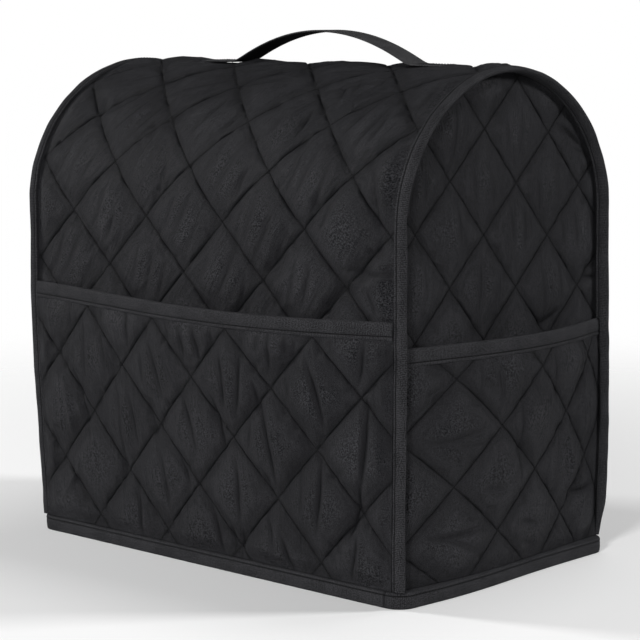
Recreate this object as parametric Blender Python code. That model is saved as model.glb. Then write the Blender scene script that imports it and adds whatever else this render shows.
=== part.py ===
# Quilted cover for a stand mixer, empty and standing on its hem.
# One long panel runs over front, top and back. Two side panels close it. It has a pocket on the
# front and one on the right side, binding tapes on every edge and a webbing handle on top.
# Metres, +Z up. X runs along the front, the front faces -Y and the right side faces +X.
import math
import bpy
import bmesh
from mathutils import Vector

# Body, at the level of the stitch lines
HALF_WIDTH = 0.190        # side panels' outer faces
HALF_DEPTH = 0.122        # front and back of the long panel
WALL_HEIGHT = 0.275       # upright part of front and back
ARCH_HEIGHT = 0.107       # rise of the rounded top above the walls
ARCH_POWER = 1.9          # 2 would make the top half an ellipse, and 1 a plain ridge
CLOTH = 0.0024            # quilted cloth where it is stitched down
PUFF = 0.0042             # rise of the wadding in the middle of a diamond
SEAT = 0.0003             # gap between pieces that lie on each other
SIDE_GAP = 0.0005         # the same where both bend, as the side panels do in the arch

# Wadding between the stitch lines
PUFF_POWER = 0.55         # below 1 makes a diamond full up to its stitch lines
UNEVEN = 0.14             # how much one diamond's height differs from the next
UNEVEN_STEPS = (12.9, 7.3)
EDGE_FADE = 0.016         # the wadding thins towards hems and seams over this width
SEAM_FADE = 0.015
POCKET_FADE = 0.014
MOUTH_START = 0.004       # thins less under the tape on a pocket's mouth

# Binding tapes
FLANGE = 0.010            # bound seam that stands out beyond each side panel
FLANGE_HALF = 0.0026      # half of its thickness
FLANGE_UNDER = 0.0002     # how much thinner it is on its inner side
FLANGE_ROUND = 0.0022     # where its rounded edge starts, and where that is steepest
FLANGE_TIP = 0.0006
FLANGE_TAPER = 0.6        # share of its thickness that is left there
FLANGE_STEPS = 64
HEM_HEIGHT = 0.012
HEM_FRONT = 0.0050        # hem tape's outer face beyond the body, which covers the pocket there
HEM_BACK = 0.0020
HEM_SIDE = 0.0110
HEM_LAP = 0.0036          # hem tape's inner face inside the body
HEM_CORNER = 0.014
HEM_INNER_CORNER = 0.006
HEM_EDGE = 0.0007         # tape's rounded edges
HEM_ROUND = 0.002
CORNER_STEPS = 5          # mesh steps in a corner, and along the hem's short and long sides
SHORT_STEPS = 12
LONG_STEPS = 16
TAPE_HEIGHT = 0.0125      # tape on the pockets' top edges
TAPE = 0.0033
TAPE_LOWER_ROUND = 0.0015
TAPE_UPPER_ROUND = 0.0020
TAPE_ROUND = (0.3, 0.7)   # where its rounded upper edge starts and ends, as shares of TAPE
TAPE_LEDGE = 0.8

# Pockets: height, how far the mouth stands open, how far its edge sags, where the mouth is widest
FRONT_POCKET = dict(top=0.206, gape=0.020, sag=0.0030, skew=1.30, swell=1.25)
SIDE_POCKET = dict(top=0.186, gape=0.015, sag=0.0010, skew=1.20, swell=1.10)
SIDE_POCKET_HALF = 0.1190
PRESSED = 0.30            # wadding behind a pocket rises at most this share of the space there

# Side panels lean out to meet the hem tape
FLARE = 0.0070
FLARE_HEIGHT = 0.090

# Handle
STRAP_WIDTH = 0.025
STRAP = 0.0020
STRAP_MIDDLE = 0.017      # the photo shows it a little right of the middle
STRAP_HALF_SPAN = 0.090
STRAP_RISE = 0.0252
STRAP_END = 0.124         # from its middle to each sewn end
STRAP_EASE = 0.0022       # roundness of the bend where it leaves the top
STRAP_EDGE = 0.0007
STRAP_STEPS = 34
STRAP_CLEAR = 0.0009      # wadding stays this far below the strap
STRAP_PRESS = (0.020, 0.036)    # from flat to full, by distance from the strap's middle line
STRAP_MARGIN = 0.010

# The cloth's slight lean: how far low corners and walls are out of true
CORNER_DRAW = 0.0086      # lower left corner at the front is drawn in
CORNER_DRAW_HEIGHT = 0.190
FRONT_SWING = 0.0042      # lower front leans out on the right and in on the left
SIDE_BULGE = 0.0060       # lower right side stands out
BACK_BULGE = 0.0030       # back edge on the right, at mid height
LEAN_REACH = 0.200        # distance from the middle at which a lean is full
SWING_REACH = 0.170
DRAW_POWER = 1.2
SIDE_BULGE_PLACE = (-0.055, 0.075)    # middle and reach, along the depth
BACK_BULGE_PLACE = (0.110, 0.080)     # middle and reach, in height

# Middle of the whole thing's box, which becomes the origin
MIDDLE_X = 0.0047
MIDDLE_Y = -0.00927

GRID = 1.0 / 6.0          # six grid lines to a diamond, so stitch lines fall on the mesh's edges
GRID_SPARE = 0.3          # no grid line nearer to a sheet's edge than this share of a step
INNER_STEP = 3            # a pocket's inner face has every third row
ARCH_SAMPLES = 600
CLOTH_SMOOTH = 50         # degrees below which an edge is shaded smooth
TAPE_SMOOTH = 40

# Cutting a side panel: how far its sheet and its cutter reach beyond it
OVERCUT = 0.012
CUTTER_INSIDE = 0.020
CUTTER_OUTSIDE = 0.030
BEND_MARGIN = 0.020
MERGE = 0.00002           # points closer than this become one
SLOPE_STEP = 0.0005


def clamp(value, low=0.0, high=1.0):
    return max(low, min(high, value))


def smooth(low, high, value):
    t = clamp((value - low) / (high - low))
    return t * t * (3.0 - 2.0 * t)


# Lattice of stitch lines. They cross at whole steps along and up, and midway between.
class Lattice:
    def __init__(self, along, up, pitch_along, pitch_up, crowd=0.0, slant=0.0):
        self.along = along
        self.up = up
        self.pitch_along = pitch_along
        self.pitch_up = pitch_up
        self.crowd = crowd          # diamonds get narrower along the panel
        self.slant = slant          # rows fall a little along the panel

    def place(self, k, m):
        a = self.along + self.pitch_along * k + self.crowd * k * k
        b = self.up + self.pitch_up * m - self.slant * (a - self.along)
        return a, b

    def column(self, a):
        if self.crowd == 0.0:
            return (a - self.along) / self.pitch_along
        root = self.pitch_along ** 2 + 4.0 * self.crowd * (a - self.along)
        return (math.sqrt(root) - self.pitch_along) / (2.0 * self.crowd)

    def row(self, b):
        return (b - self.up) / self.pitch_up

    # Height of the wadding, nought on the stitch lines and not quite the same in any two diamonds
    def puff(self, k, m):
        u = k + m
        v = k - m
        pillow = abs(math.sin(math.pi * u) * math.sin(math.pi * v)) ** PUFF_POWER
        uneven = math.sin(UNEVEN_STEPS[0] * math.floor(u) + UNEVEN_STEPS[1] * math.floor(v))
        return PUFF * pillow * (1.0 + UNEVEN * uneven)


WRAP_LATTICE = Lattice(0.019, 0.348, 0.083, 0.0815)
SIDE_LATTICE = Lattice(0.016, 0.297, 0.078, 0.078, slant=0.07)
FRONT_POCKET_LATTICE = Lattice(0.0, 0.150, 0.082, 0.085)
SIDE_POCKET_LATTICE = Lattice(-0.065, 0.160, 0.1075, 0.080, crowd=-0.013)


# Outline of front, top and back: length along it, y, z and the outward direction
def arch_table():
    rows = []
    length = WALL_HEIGHT
    for i in range(ARCH_SAMPLES + 1):
        t = math.pi * i / ARCH_SAMPLES
        cosine = math.cos(t)
        sine = abs(math.sin(t))
        y = -HALF_DEPTH * math.copysign(abs(cosine) ** (2.0 / ARCH_POWER), cosine)
        z = WALL_HEIGHT + ARCH_HEIGHT * sine ** (2.0 / ARCH_POWER)
        if rows:
            length += math.hypot(y - rows[-1][1], z - rows[-1][2])
        rows.append((length, y, z))
    return rows


ARCH = arch_table()
ARCH_END = ARCH[-1][0]
GIRTH = ARCH_END + WALL_HEIGHT
CROWN = WALL_HEIGHT + ARCH_HEIGHT


def outline(length, offset):
    if length <= WALL_HEIGHT:
        return -HALF_DEPTH - offset, length
    if length >= ARCH_END:
        return HALF_DEPTH + offset, GIRTH - length
    low = 0
    high = len(ARCH) - 1
    while high - low > 1:
        middle = (low + high) // 2
        if ARCH[middle][0] <= length:
            low = middle
        else:
            high = middle
    before = ARCH[max(low - 1, 0)]
    after = ARCH[min(high + 1, len(ARCH) - 1)]
    share = (length - ARCH[low][0]) / (ARCH[high][0] - ARCH[low][0])
    y = ARCH[low][1] + share * (ARCH[high][1] - ARCH[low][1])
    z = ARCH[low][2] + share * (ARCH[high][2] - ARCH[low][2])
    dy = after[1] - before[1]
    dz = after[2] - before[2]
    size = math.hypot(dy, dz)
    return y - offset * dz / size, z + offset * dy / size


# How far a pocket's cloth stands off the panel behind it, and how far its edge has sunk there
def mouth(pocket, share):
    return math.sin(math.pi * clamp(share) ** pocket["skew"])


def pocket_gap(pocket, share, z):
    height = clamp((z - HEM_HEIGHT) / (pocket["top"] - HEM_HEIGHT))
    return SEAT + pocket["gape"] * mouth(pocket, share) * height ** pocket["swell"]


def pocket_sag(pocket, share, z):
    height = clamp((z - HEM_HEIGHT) / (pocket["top"] - HEM_HEIGHT))
    return pocket["sag"] * mouth(pocket, share) * height ** 2


def front_share(x):
    return (x + HALF_WIDTH) / (2.0 * HALF_WIDTH)


def side_share(y):
    return (y + SIDE_POCKET_HALF) / (2.0 * SIDE_POCKET_HALF)


# How far a side panel leans out near the hem
def flare(y, z):
    return FLARE * clamp(1.0 - z / FLARE_HEIGHT) ** 2 * clamp(1.0 - (y / SIDE_POCKET_HALF) ** 2)


def strap_under(x):
    arch = STRAP_RISE * (1.0 - ((x - STRAP_MIDDLE) / STRAP_HALF_SPAN) ** 2)
    return CROWN + SEAT + 0.5 * (arch + math.sqrt(arch * arch + STRAP_EASE ** 2))


def bell(value, place):
    return math.exp(-((value - place[0]) / place[1]) ** 2)


# Everything leans and bulges a little, most of all low down. The hem's underside stays flat.
def settle(point):
    x, y, z = point
    left = clamp(-x / LEAN_REACH)
    right = clamp(x / LEAN_REACH)
    front = clamp(0.5 - y / (2.0 * HALF_DEPTH))
    low = clamp(1.0 - z / CORNER_DRAW_HEIGHT) ** DRAW_POWER
    x_move = CORNER_DRAW * left * front * low
    x_move += SIDE_BULGE * right * low * bell(y, SIDE_BULGE_PLACE)
    x_move += BACK_BULGE * right * (1.0 - front) * bell(z, BACK_BULGE_PLACE)
    y_move = -FRONT_SWING * clamp(x / SWING_REACH, -1.0, 1.0) * front * low
    return Vector((x + x_move, y + y_move, z))


# Build helpers
def finish(name, bm, material, smooth_angle):
    bmesh.ops.triangulate(bm, faces=[f for f in bm.faces if len(f.verts) > 3])
    for vert in bm.verts:
        vert.co = settle(vert.co)
    bmesh.ops.recalc_face_normals(bm, faces=bm.faces)
    mesh = bpy.data.meshes.new(name)
    bm.to_mesh(mesh)
    bm.free()
    mesh.materials.append(material)
    mesh.shade_smooth()
    mesh.set_sharp_from_angle(angle=math.radians(smooth_angle))
    piece = bpy.data.objects.new(name, mesh)
    bpy.context.scene.collection.objects.link(piece)
    piece.parent = cover


# Grid lines from one end to the other, each on a whole step of the lattice
def grid_lines(first, last):
    lines = [first]
    n = math.ceil(first / GRID + GRID_SPARE)
    while n * GRID < last - GRID_SPARE * GRID:
        lines.append(n * GRID)
        n += 1
    lines.append(last)
    return lines


# A sheet with puffed diamonds on its outer face and a plain, coarser inner face.
# surface(a, b, lift) is the point a distance lift outside the inner face.
def quilted_sheet(lattice, columns, rows, surface, puff, inner_columns, inner_rows):
    bm = bmesh.new()
    outer = []
    inner = {}
    for j, m in enumerate(rows):
        line = []
        for i, k in enumerate(columns):
            a, b = lattice.place(k, m)
            line.append(bm.verts.new(surface(a, b, CLOTH + puff(a, b, k, m))))
            if i in inner_columns and j in inner_rows:
                inner[i, j] = bm.verts.new(surface(a, b, 0.0))
        outer.append(line)
    # Each cell is split along the stitch line that crosses it
    for j in range(len(rows) - 1):
        for i in range(len(columns) - 1):
            k = 0.5 * (columns[i] + columns[i + 1])
            m = 0.5 * (rows[j] + rows[j + 1])
            falling = abs(k + m - round(k + m)) < abs(k - m - round(k - m))
            a, b = outer[j][i], outer[j][i + 1]
            c, d = outer[j + 1][i + 1], outer[j + 1][i]
            if falling:
                bm.faces.new((a, b, d))
                bm.faces.new((b, c, d))
            else:
                bm.faces.new((a, b, c))
                bm.faces.new((a, c, d))
    for j, j_next in zip(inner_rows, inner_rows[1:]):
        for i, i_next in zip(inner_columns, inner_columns[1:]):
            bm.faces.new((inner[i, j], inner[i, j_next], inner[i_next, j_next], inner[i_next, j]))
        for i in (inner_columns[0], inner_columns[-1]):
            edge = [outer[n][i] for n in range(j, j_next + 1)]
            bm.faces.new(edge + [inner[i, j_next], inner[i, j]])
    for i, i_next in zip(inner_columns, inner_columns[1:]):
        for j in (inner_rows[0], inner_rows[-1]):
            edge = [outer[j][n] for n in range(i, i_next + 1)]
            bm.faces.new(edge + [inner[i_next, j], inner[i, j]])
    return bm


# A bar: rings of points joined one to the next. A closed one ends where it starts.
def bar(rings, closed=False):
    bm = bmesh.new()
    loops = [[bm.verts.new(point) for point in ring] for ring in rings]
    pairs = list(zip(loops, loops[1:]))
    if closed:
        pairs.append((loops[-1], loops[0]))
    for one, other in pairs:
        for n in range(len(one)):
            after = (n + 1) % len(one)
            bm.faces.new((one[n], one[after], other[after], other[n]))
    if not closed:
        bm.faces.new(loops[0])
        bm.faces.new(list(reversed(loops[-1])))
    return bm


def make_material(name, colour, roughness):
    material = bpy.data.materials.new(name)
    material.use_nodes = True
    shader = material.node_tree.nodes["Principled BSDF"]
    shader.inputs["Base Color"].default_value = (*colour, 1.0)
    shader.inputs["Roughness"].default_value = roughness
    shader.inputs["Metallic"].default_value = 0.0
    return material


# The long panel over front, top and back
def wrap_puff(x, length, k, m):
    y, z = outline(length, 0.0)
    rise = WRAP_LATTICE.puff(k, m)
    rise *= smooth(0.0, EDGE_FADE, HALF_WIDTH - abs(x))
    rise *= smooth(0.0, EDGE_FADE, min(length, GIRTH - length) - HEM_HEIGHT)
    if length < FRONT_POCKET["top"]:
        # pressed flat where the pocket lies on it
        rise = min(rise, PRESSED * (pocket_gap(FRONT_POCKET, front_share(x), z) - SEAT))
    if z > WALL_HEIGHT and abs(x - STRAP_MIDDLE) < STRAP_END + STRAP_MARGIN:
        # pressed flat under the strap's sewn ends
        room = max(0.0, strap_under(x) - CROWN - STRAP_CLEAR)
        share = smooth(STRAP_PRESS[0], STRAP_PRESS[1], abs(y))
        rise = share * rise + (1.0 - share) * min(rise, room)
    return rise


def wrap_surface(x, length, lift):
    y, z = outline(length, lift - CLOTH)
    return x, y, z


def wrap_rows():
    start = HEM_HEIGHT + SEAT
    return grid_lines(WRAP_LATTICE.row(start), WRAP_LATTICE.row(GIRTH - start))


def make_wrap(material):
    lattice = WRAP_LATTICE
    columns = grid_lines(lattice.column(-HALF_WIDTH), lattice.column(HALF_WIDTH))
    rows = wrap_rows()
    ends = [0, len(columns) - 1]
    bm = quilted_sheet(lattice, columns, rows, wrap_surface, wrap_puff, ends, range(len(rows)))
    finish("wrap_panel", bm, material, CLOTH_SMOOTH)


# Side panels, cut to the arch's inner outline
def side_puff(y, z, k, m, pocketed):
    rise = SIDE_LATTICE.puff(k, m)
    # distance to the seam, near enough
    wall = HALF_DEPTH - CLOTH - abs(y)
    if z > WALL_HEIGHT:
        inside = (abs(y) / (HALF_DEPTH - CLOTH)) ** ARCH_POWER
        inside += ((z - WALL_HEIGHT) / (ARCH_HEIGHT - CLOTH)) ** ARCH_POWER
        wall = (1.0 - inside ** (1.0 / ARCH_POWER)) * ARCH_HEIGHT
    rise *= smooth(0.0, SEAM_FADE, wall)
    rise *= smooth(0.0, EDGE_FADE, z - HEM_HEIGHT)
    if pocketed and z < SIDE_POCKET["top"]:
        rise = min(rise, PRESSED * (pocket_gap(SIDE_POCKET, side_share(y), z) - SEAT))
    return rise


def make_side(name, side, pocketed, material):
    lattice = SIDE_LATTICE

    def surface(y, z, lift):
        return side * (HALF_WIDTH - CLOTH + lift + flare(y, z)), y, z

    def puff(y, z, k, m):
        return side_puff(y, z, k, m, pocketed)

    columns = grid_lines(lattice.column(-HALF_DEPTH - OVERCUT), lattice.column(HALF_DEPTH + OVERCUT))
    rows = grid_lines(lattice.row(-OVERCUT), lattice.row(CROWN + OVERCUT))
    # the flare makes the inner face bend too, but only low down
    bend = lattice.row(FLARE_HEIGHT + BEND_MARGIN)
    last = len(rows) - 1
    inner_rows = [j for j, m in enumerate(rows) if m < bend or j == last]
    bm = quilted_sheet(lattice, columns, rows, surface, puff, range(len(columns)), inner_rows)
    bmesh.ops.recalc_face_normals(bm, faces=bm.faces)
    slab = bpy.data.meshes.new(name + "_slab")
    bm.to_mesh(slab)
    bm.free()

    # Cutter: the space inside the long panel, down to the hem tape
    offset = -CLOTH - SIDE_GAP
    ring = [outline(WRAP_LATTICE.place(0.0, m)[1], offset) for m in wrap_rows()]
    inner_x = side * (HALF_WIDTH - CUTTER_INSIDE)
    outer_x = side * (HALF_WIDTH + CUTTER_OUTSIDE)
    bm = bar([[(x, y, z) for y, z in ring] for x in (inner_x, outer_x)])
    bmesh.ops.recalc_face_normals(bm, faces=bm.faces)
    prism = bpy.data.meshes.new(name + "_outline")
    bm.to_mesh(prism)
    bm.free()

    rough = bpy.data.objects.new(name + "_slab", slab)
    cutter = bpy.data.objects.new(name + "_cutter", prism)
    for piece in (rough, cutter):
        bpy.context.scene.collection.objects.link(piece)
    trim = rough.modifiers.new("trim", "BOOLEAN")
    trim.operation = "INTERSECT"
    trim.solver = "EXACT"
    trim.object = cutter
    bpy.context.view_layer.update()
    trimmed = rough.evaluated_get(bpy.context.evaluated_depsgraph_get())
    bm = bmesh.new()
    bm.from_mesh(trimmed.to_mesh())
    for piece in (rough, cutter):
        bpy.data.objects.remove(piece)
    bmesh.ops.remove_doubles(bm, verts=bm.verts, dist=MERGE)
    finish(name, bm, material, CLOTH_SMOOTH)


# Pockets: a quilted sheet that stands off the panel behind it, and a tape on its mouth
def front_surface(x, z, lift):
    share = front_share(x)
    y = -HALF_DEPTH - pocket_gap(FRONT_POCKET, share, z) - lift
    return x, y, z - pocket_sag(FRONT_POCKET, share, z)


def side_surface(y, z, lift):
    share = side_share(y)
    x = HALF_WIDTH + flare(y, z) + pocket_gap(SIDE_POCKET, share, z) + lift
    return x, y, z - pocket_sag(SIDE_POCKET, share, z)


def make_pocket(name, pocket, lattice, half, surface, cloth_material, tape_material):
    start = HEM_HEIGHT + SEAT
    stop = pocket["top"] - TAPE_HEIGHT - SEAT

    def puff(a, z, k, m):
        rise = lattice.puff(k, m)
        rise *= smooth(0.0, POCKET_FADE, half - abs(a))
        rise *= smooth(0.0, POCKET_FADE, z - start)
        return rise * smooth(-MOUTH_START, POCKET_FADE, stop - z)

    columns = grid_lines(lattice.column(-half), lattice.column(half))
    rows = grid_lines(lattice.row(start), lattice.row(stop))
    inner_rows = list(range(0, len(rows) - 1, INNER_STEP)) + [len(rows) - 1]
    bm = quilted_sheet(lattice, columns, rows, surface, puff, range(len(columns)), inner_rows)
    finish(name, bm, cloth_material, CLOTH_SMOOTH)

    low = stop + SEAT
    high = pocket["top"]
    rings = []
    for k in columns:
        a = lattice.place(k, 0.0)[0]
        section = [(low, 0.0), (low, TAPE * TAPE_LEDGE), (low + TAPE_LOWER_ROUND, TAPE),
                   (high - TAPE_UPPER_ROUND, TAPE), (high, TAPE * TAPE_ROUND[1]),
                   (high, TAPE * TAPE_ROUND[0]),
                   (high - TAPE_UPPER_ROUND, 0.0)]
        rings.append([surface(a, z, lift) for z, lift in section])
    finish(name + "_binding", bar(rings), tape_material, TAPE_SMOOTH)


# Bound seam that stands out along each side of the arch
def make_edge_binding(name, side, material):
    start = HEM_HEIGHT + SEAT
    inner_x = HALF_WIDTH + SEAT
    outer_x = HALF_WIDTH + FLANGE
    half = FLANGE_HALF
    under = FLANGE_UNDER - half
    section = [(inner_x, half), (outer_x - FLANGE_ROUND, half),
               (outer_x - FLANGE_TIP, FLANGE_TAPER * half), (outer_x, 0.0),
               (outer_x - FLANGE_TIP, -FLANGE_TAPER * half),
               (outer_x - FLANGE_ROUND, under), (inner_x, under)]
    rings = []
    for n in range(FLANGE_STEPS + 1):
        length = start + (GIRTH - 2.0 * start) * n / FLANGE_STEPS
        ring = []
        for x, offset in section:
            y, z = outline(length, offset)
            ring.append((side * x, y, z))
        rings.append(ring)
    finish(name, bar(rings), material, TAPE_SMOOTH)


# Hem tape: one loop with rounded corners, wider at the front where it covers the pocket too
def hem_loop(left, right, front, back, radius, lean):
    points = []
    corners = ((right, front, -1, 1), (right, back, 1, 1), (left, back, 1, -1), (left, front, -1, -1))
    for n, (x, y, y_sign, x_sign) in enumerate(corners):
        centre_x = x - x_sign * radius
        centre_y = y - y_sign * radius
        for step in range(CORNER_STEPS + 1):
            turn = math.radians(90.0 * (n - 1 + step / CORNER_STEPS))
            points.append((centre_x + radius * math.cos(turn), centre_y + radius * math.sin(turn)))
        next_corner = corners[(n + 1) % 4]
        after = (next_corner[0] - next_corner[3] * radius, next_corner[1] - next_corner[2] * radius)
        last = points[-1]
        steps = SHORT_STEPS if n % 2 == 0 else LONG_STEPS
        for step in range(1, steps):
            share = step / steps
            if n % 2 == 0:
                y_here = last[1] + share * (after[1] - last[1])
                points.append((last[0] + x_sign * lean * flare(y_here, HEM_HEIGHT), y_here))
            else:
                points.append((last[0] + share * (after[0] - last[0]), last[1]))
    return points


def make_hem(material):
    outer = hem_loop(-HALF_WIDTH - HEM_SIDE, HALF_WIDTH + HEM_SIDE, -HALF_DEPTH - HEM_FRONT,
                     HALF_DEPTH + HEM_BACK, HEM_CORNER, 0.0)
    inside = HALF_WIDTH - HEM_LAP
    inner = hem_loop(-inside, inside, -HALF_DEPTH + HEM_LAP, HALF_DEPTH - HEM_LAP,
                     HEM_INNER_CORNER, 1.0)
    rings = []
    for (x, y), (inner_x, inner_y) in zip(outer, inner):
        edge = Vector((x - inner_x, y - inner_y)).normalized() * HEM_EDGE
        rings.append([(x - edge.x, y - edge.y, 0.0), (x, y, HEM_ROUND), (x, y, HEM_HEIGHT - HEM_ROUND),
                      (x - edge.x, y - edge.y, HEM_HEIGHT), (inner_x, inner_y, HEM_HEIGHT),
                      (inner_x, inner_y, 0.0)])
    finish("hem_binding", bar(rings, closed=True), material, TAPE_SMOOTH)


# Webbing handle: sewn ends flat on the top, and a low arch between them
def make_handle(material):
    half = STRAP_WIDTH / 2.0
    flat = half - STRAP_EDGE
    top = STRAP - STRAP_EDGE
    section = [(-half, STRAP_EDGE), (-flat, 0.0), (flat, 0.0), (half, STRAP_EDGE),
               (half, top), (flat, STRAP), (-flat, STRAP), (-half, top)]
    rings = []
    for n in range(STRAP_STEPS + 1):
        x = STRAP_MIDDLE - STRAP_END + 2.0 * STRAP_END * n / STRAP_STEPS
        slope = (strap_under(x + SLOPE_STEP) - strap_under(x - SLOPE_STEP)) / (2.0 * SLOPE_STEP)
        turn = math.atan(slope)
        ring = []
        for y, lift in section:
            ring.append((x - lift * math.sin(turn), y, strap_under(x) + lift * math.cos(turn)))
        rings.append(ring)
    finish("handle_strap", bar(rings), material, TAPE_SMOOTH)


for leftover in list(bpy.data.objects):
    bpy.data.objects.remove(leftover)

cover = bpy.data.objects.new("cover", None)
bpy.context.scene.collection.objects.link(cover)
cover.location = (-MIDDLE_X, -MIDDLE_Y, 0.0)

cloth = make_material("quilted_cloth", (0.018, 0.018, 0.020), 0.55)
tape = make_material("binding_tape", (0.022, 0.022, 0.023), 0.70)
webbing = make_material("handle_webbing", (0.024, 0.024, 0.025), 0.65)

make_wrap(cloth)
make_side("side_panel_right", 1, True, cloth)
make_side("side_panel_left", -1, False, cloth)
make_pocket("front_pocket", FRONT_POCKET, FRONT_POCKET_LATTICE, HALF_WIDTH, front_surface, cloth, tape)
make_pocket("side_pocket", SIDE_POCKET, SIDE_POCKET_LATTICE, SIDE_POCKET_HALF, side_surface, cloth, tape)
make_edge_binding("edge_binding_right", 1, tape)
make_edge_binding("edge_binding_left", -1, tape)
make_hem(tape)
make_handle(webbing)
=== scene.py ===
import math
import bpy
import mathutils
import numpy as np
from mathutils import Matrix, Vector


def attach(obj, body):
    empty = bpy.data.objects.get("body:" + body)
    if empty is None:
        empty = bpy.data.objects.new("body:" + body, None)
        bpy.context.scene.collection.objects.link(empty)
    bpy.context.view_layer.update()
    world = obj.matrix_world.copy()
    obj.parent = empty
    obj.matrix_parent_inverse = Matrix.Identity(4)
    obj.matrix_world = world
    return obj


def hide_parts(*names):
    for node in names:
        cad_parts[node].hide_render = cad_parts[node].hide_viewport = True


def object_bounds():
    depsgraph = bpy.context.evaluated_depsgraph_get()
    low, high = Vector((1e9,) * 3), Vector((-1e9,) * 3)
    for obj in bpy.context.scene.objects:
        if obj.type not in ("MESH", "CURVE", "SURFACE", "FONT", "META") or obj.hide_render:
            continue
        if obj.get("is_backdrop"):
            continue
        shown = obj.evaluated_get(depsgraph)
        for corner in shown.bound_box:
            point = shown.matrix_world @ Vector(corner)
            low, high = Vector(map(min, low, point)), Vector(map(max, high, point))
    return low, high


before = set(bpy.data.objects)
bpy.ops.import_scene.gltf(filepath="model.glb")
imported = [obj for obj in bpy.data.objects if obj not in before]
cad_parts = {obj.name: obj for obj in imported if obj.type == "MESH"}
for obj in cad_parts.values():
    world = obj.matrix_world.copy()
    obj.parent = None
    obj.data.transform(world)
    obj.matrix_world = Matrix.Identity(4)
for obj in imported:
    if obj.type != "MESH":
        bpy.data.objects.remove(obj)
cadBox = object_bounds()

# Quilted stand mixer cover. Every piece is shaped in the pattern's own frame: x along the front,
# z up, y through the depth, and the middle of the crown's arch at y = 0. Metres throughout.

body = {
    "halfWidth": 0.190,      # outer faces of the side panels
    "halfDepth": 0.122,
    "wallHeight": 0.275,
    "archHeight": 0.107,
    "archPower": 1.9,
    "cloth": 0.0024,         # stitched-down thickness
    "puff": 0.0042,
    "seat": 0.0003,
    "hemHeight": 0.012,
    "middle": (0.0047, -0.00927),    # middle of the whole box, which is the frame's origin
    "uneven": (0.14, 12.9, 7.3),     # how much one diamond's height differs from the next
    "puffPower": 0.55,
    "flare": 0.0070,         # how far a side panel leans out near the hem
    "flareHeight": 0.090,
    "flareHalf": 0.1190,
    "hollow": 0.0010,        # how far the inner face follows the diamonds
}
lean = {
    "cornerDraw": 0.0086,    # lower left corner at the front is drawn in
    "drawHeight": 0.190,
    "frontSwing": 0.0042,
    "drawPower": 1.2,
    "sideBulge": (0.0060, -0.055, 0.075),    # height, middle and reach along the depth
    "backBulge": (0.0030, 0.110, 0.080),     # height, middle and reach up the back
    "reach": 0.200,
    "swingReach": 0.170,
}
fine = {
    "longPanelCells": 43,    # mesh cells across one diamond
    "sidePanelCells": 46,
    "pocketCells": 64,
    "innerStep": 4,          # the plain inner face takes every fourth line
    "stitchPitch": 0.0033,
    "stitchLength": 0.0026,
    "threadRadius": 0.00030,
    "grooveShadeWidth": 0.0010,   # painted shade along the channel that the thread pulls in
    "creaseStrength": 1.30,
    "creaseBow": 0.10,       # how far a crease bows, as a share of its half length
    "creaseReach": 1.2,      # fades out over this much more than its length
    "creaseShadeShare": 0.40,      # share of a crease's width that gets painted shade
    "hollow": 0.34,          # painted shade in the hollow beside each stitch line
    "hollowShadeWidth": 0.0042,
    # painted shade in the dips of the small gathers by each stitch line
    "gatherShade": 0.45,
    "ragged": (0.35, 0.0035),        # how uneven that painted shade line is, and how finely
    "gatherPitch": 0.0075,   # small gathers where the thread draws the cloth up
    "gatherDrift": 0.020,
    "gatherReach": 0.006,
    "gatherStart": 0.0018,
    "smoothAngle": 60.0,
    "creaseLength": 0.022,   # fine creases that only the finish shows
    "creaseWidth": 0.0042,
}


def clamp(value, low=0.0, high=1.0):
    return np.clip(value, low, high)


def smooth(low, high, value):
    t = clamp((value - low) / (high - low))
    return t * t * (3.0 - 2.0 * t)


def scatter(i, j, seed):
    value = np.sin(i * 127.1 + j * 311.7 + seed * 74.7) * 43758.5453
    return value - np.floor(value)


# soft noise from -1 to 1 with cells one unit wide
def noise(x, y, seed=0):
    i, j = np.floor(x), np.floor(y)
    u, v = x - i, y - j
    u = u * u * (3.0 - 2.0 * u)
    v = v * v * (3.0 - 2.0 * v)
    low = scatter(i, j, seed) * (1 - u) + scatter(i + 1, j, seed) * u
    high = scatter(i, j + 1, seed) * (1 - u) + scatter(i + 1, j + 1, seed) * u
    return 2.0 * (low * (1 - v) + high * v) - 1.0


# long soft folds that run at an angle, in degrees from the first axis
def folds(a, b, angle, length, width, seed, bend=0.25):
    turn = math.radians(angle)
    along = a * math.cos(turn) + b * math.sin(turn)
    across = b * math.cos(turn) - a * math.sin(turn)
    drift = bend * width * noise(along / (0.6 * length), across / (2.5 * width), seed + 31)
    waves = noise(along / length, (across + drift) / width, seed)
    return (1.0 - np.abs(waves)) ** 3 - 0.35


# Creases, each one listed: its middle in steps of the lattice, angle in degrees, half length and height in
# millimetres, below nought for a trough. A smaller share of the width leaves only the bottom of each crease.
def creases(lattice, a, b, rows, halfWidth, share=1.0):
    total = np.zeros(np.broadcast(a, b).shape)
    a, b = np.broadcast_to(a, total.shape), np.broadcast_to(b, total.shape)
    for k, m, angle, halfLength, height in rows:
        middleA, middleB = lattice.place(k, m)
        turn = math.radians(angle)
        halfLength = 0.001 * halfLength * fine["creaseReach"]
        height = 0.001 * height * fine["creaseStrength"]
        reach = halfLength + 3.0 * halfWidth
        near = (np.abs(a - middleA) < reach) & (np.abs(b - middleB) < reach)
        fromA, fromB = a[near] - middleA, b[near] - middleB
        along = (fromA * math.cos(turn) + fromB * math.sin(turn)) / halfLength
        taper = clamp(1.0 - along ** 2)
        across = fromB * math.cos(turn) - fromA * math.sin(turn) + fine["creaseBow"] * halfLength * taper
        t = np.abs(across) / (halfWidth * share)
        total[near] += height * taper ** 1.2 * np.exp(-t ** 1.4)
    return total


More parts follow.
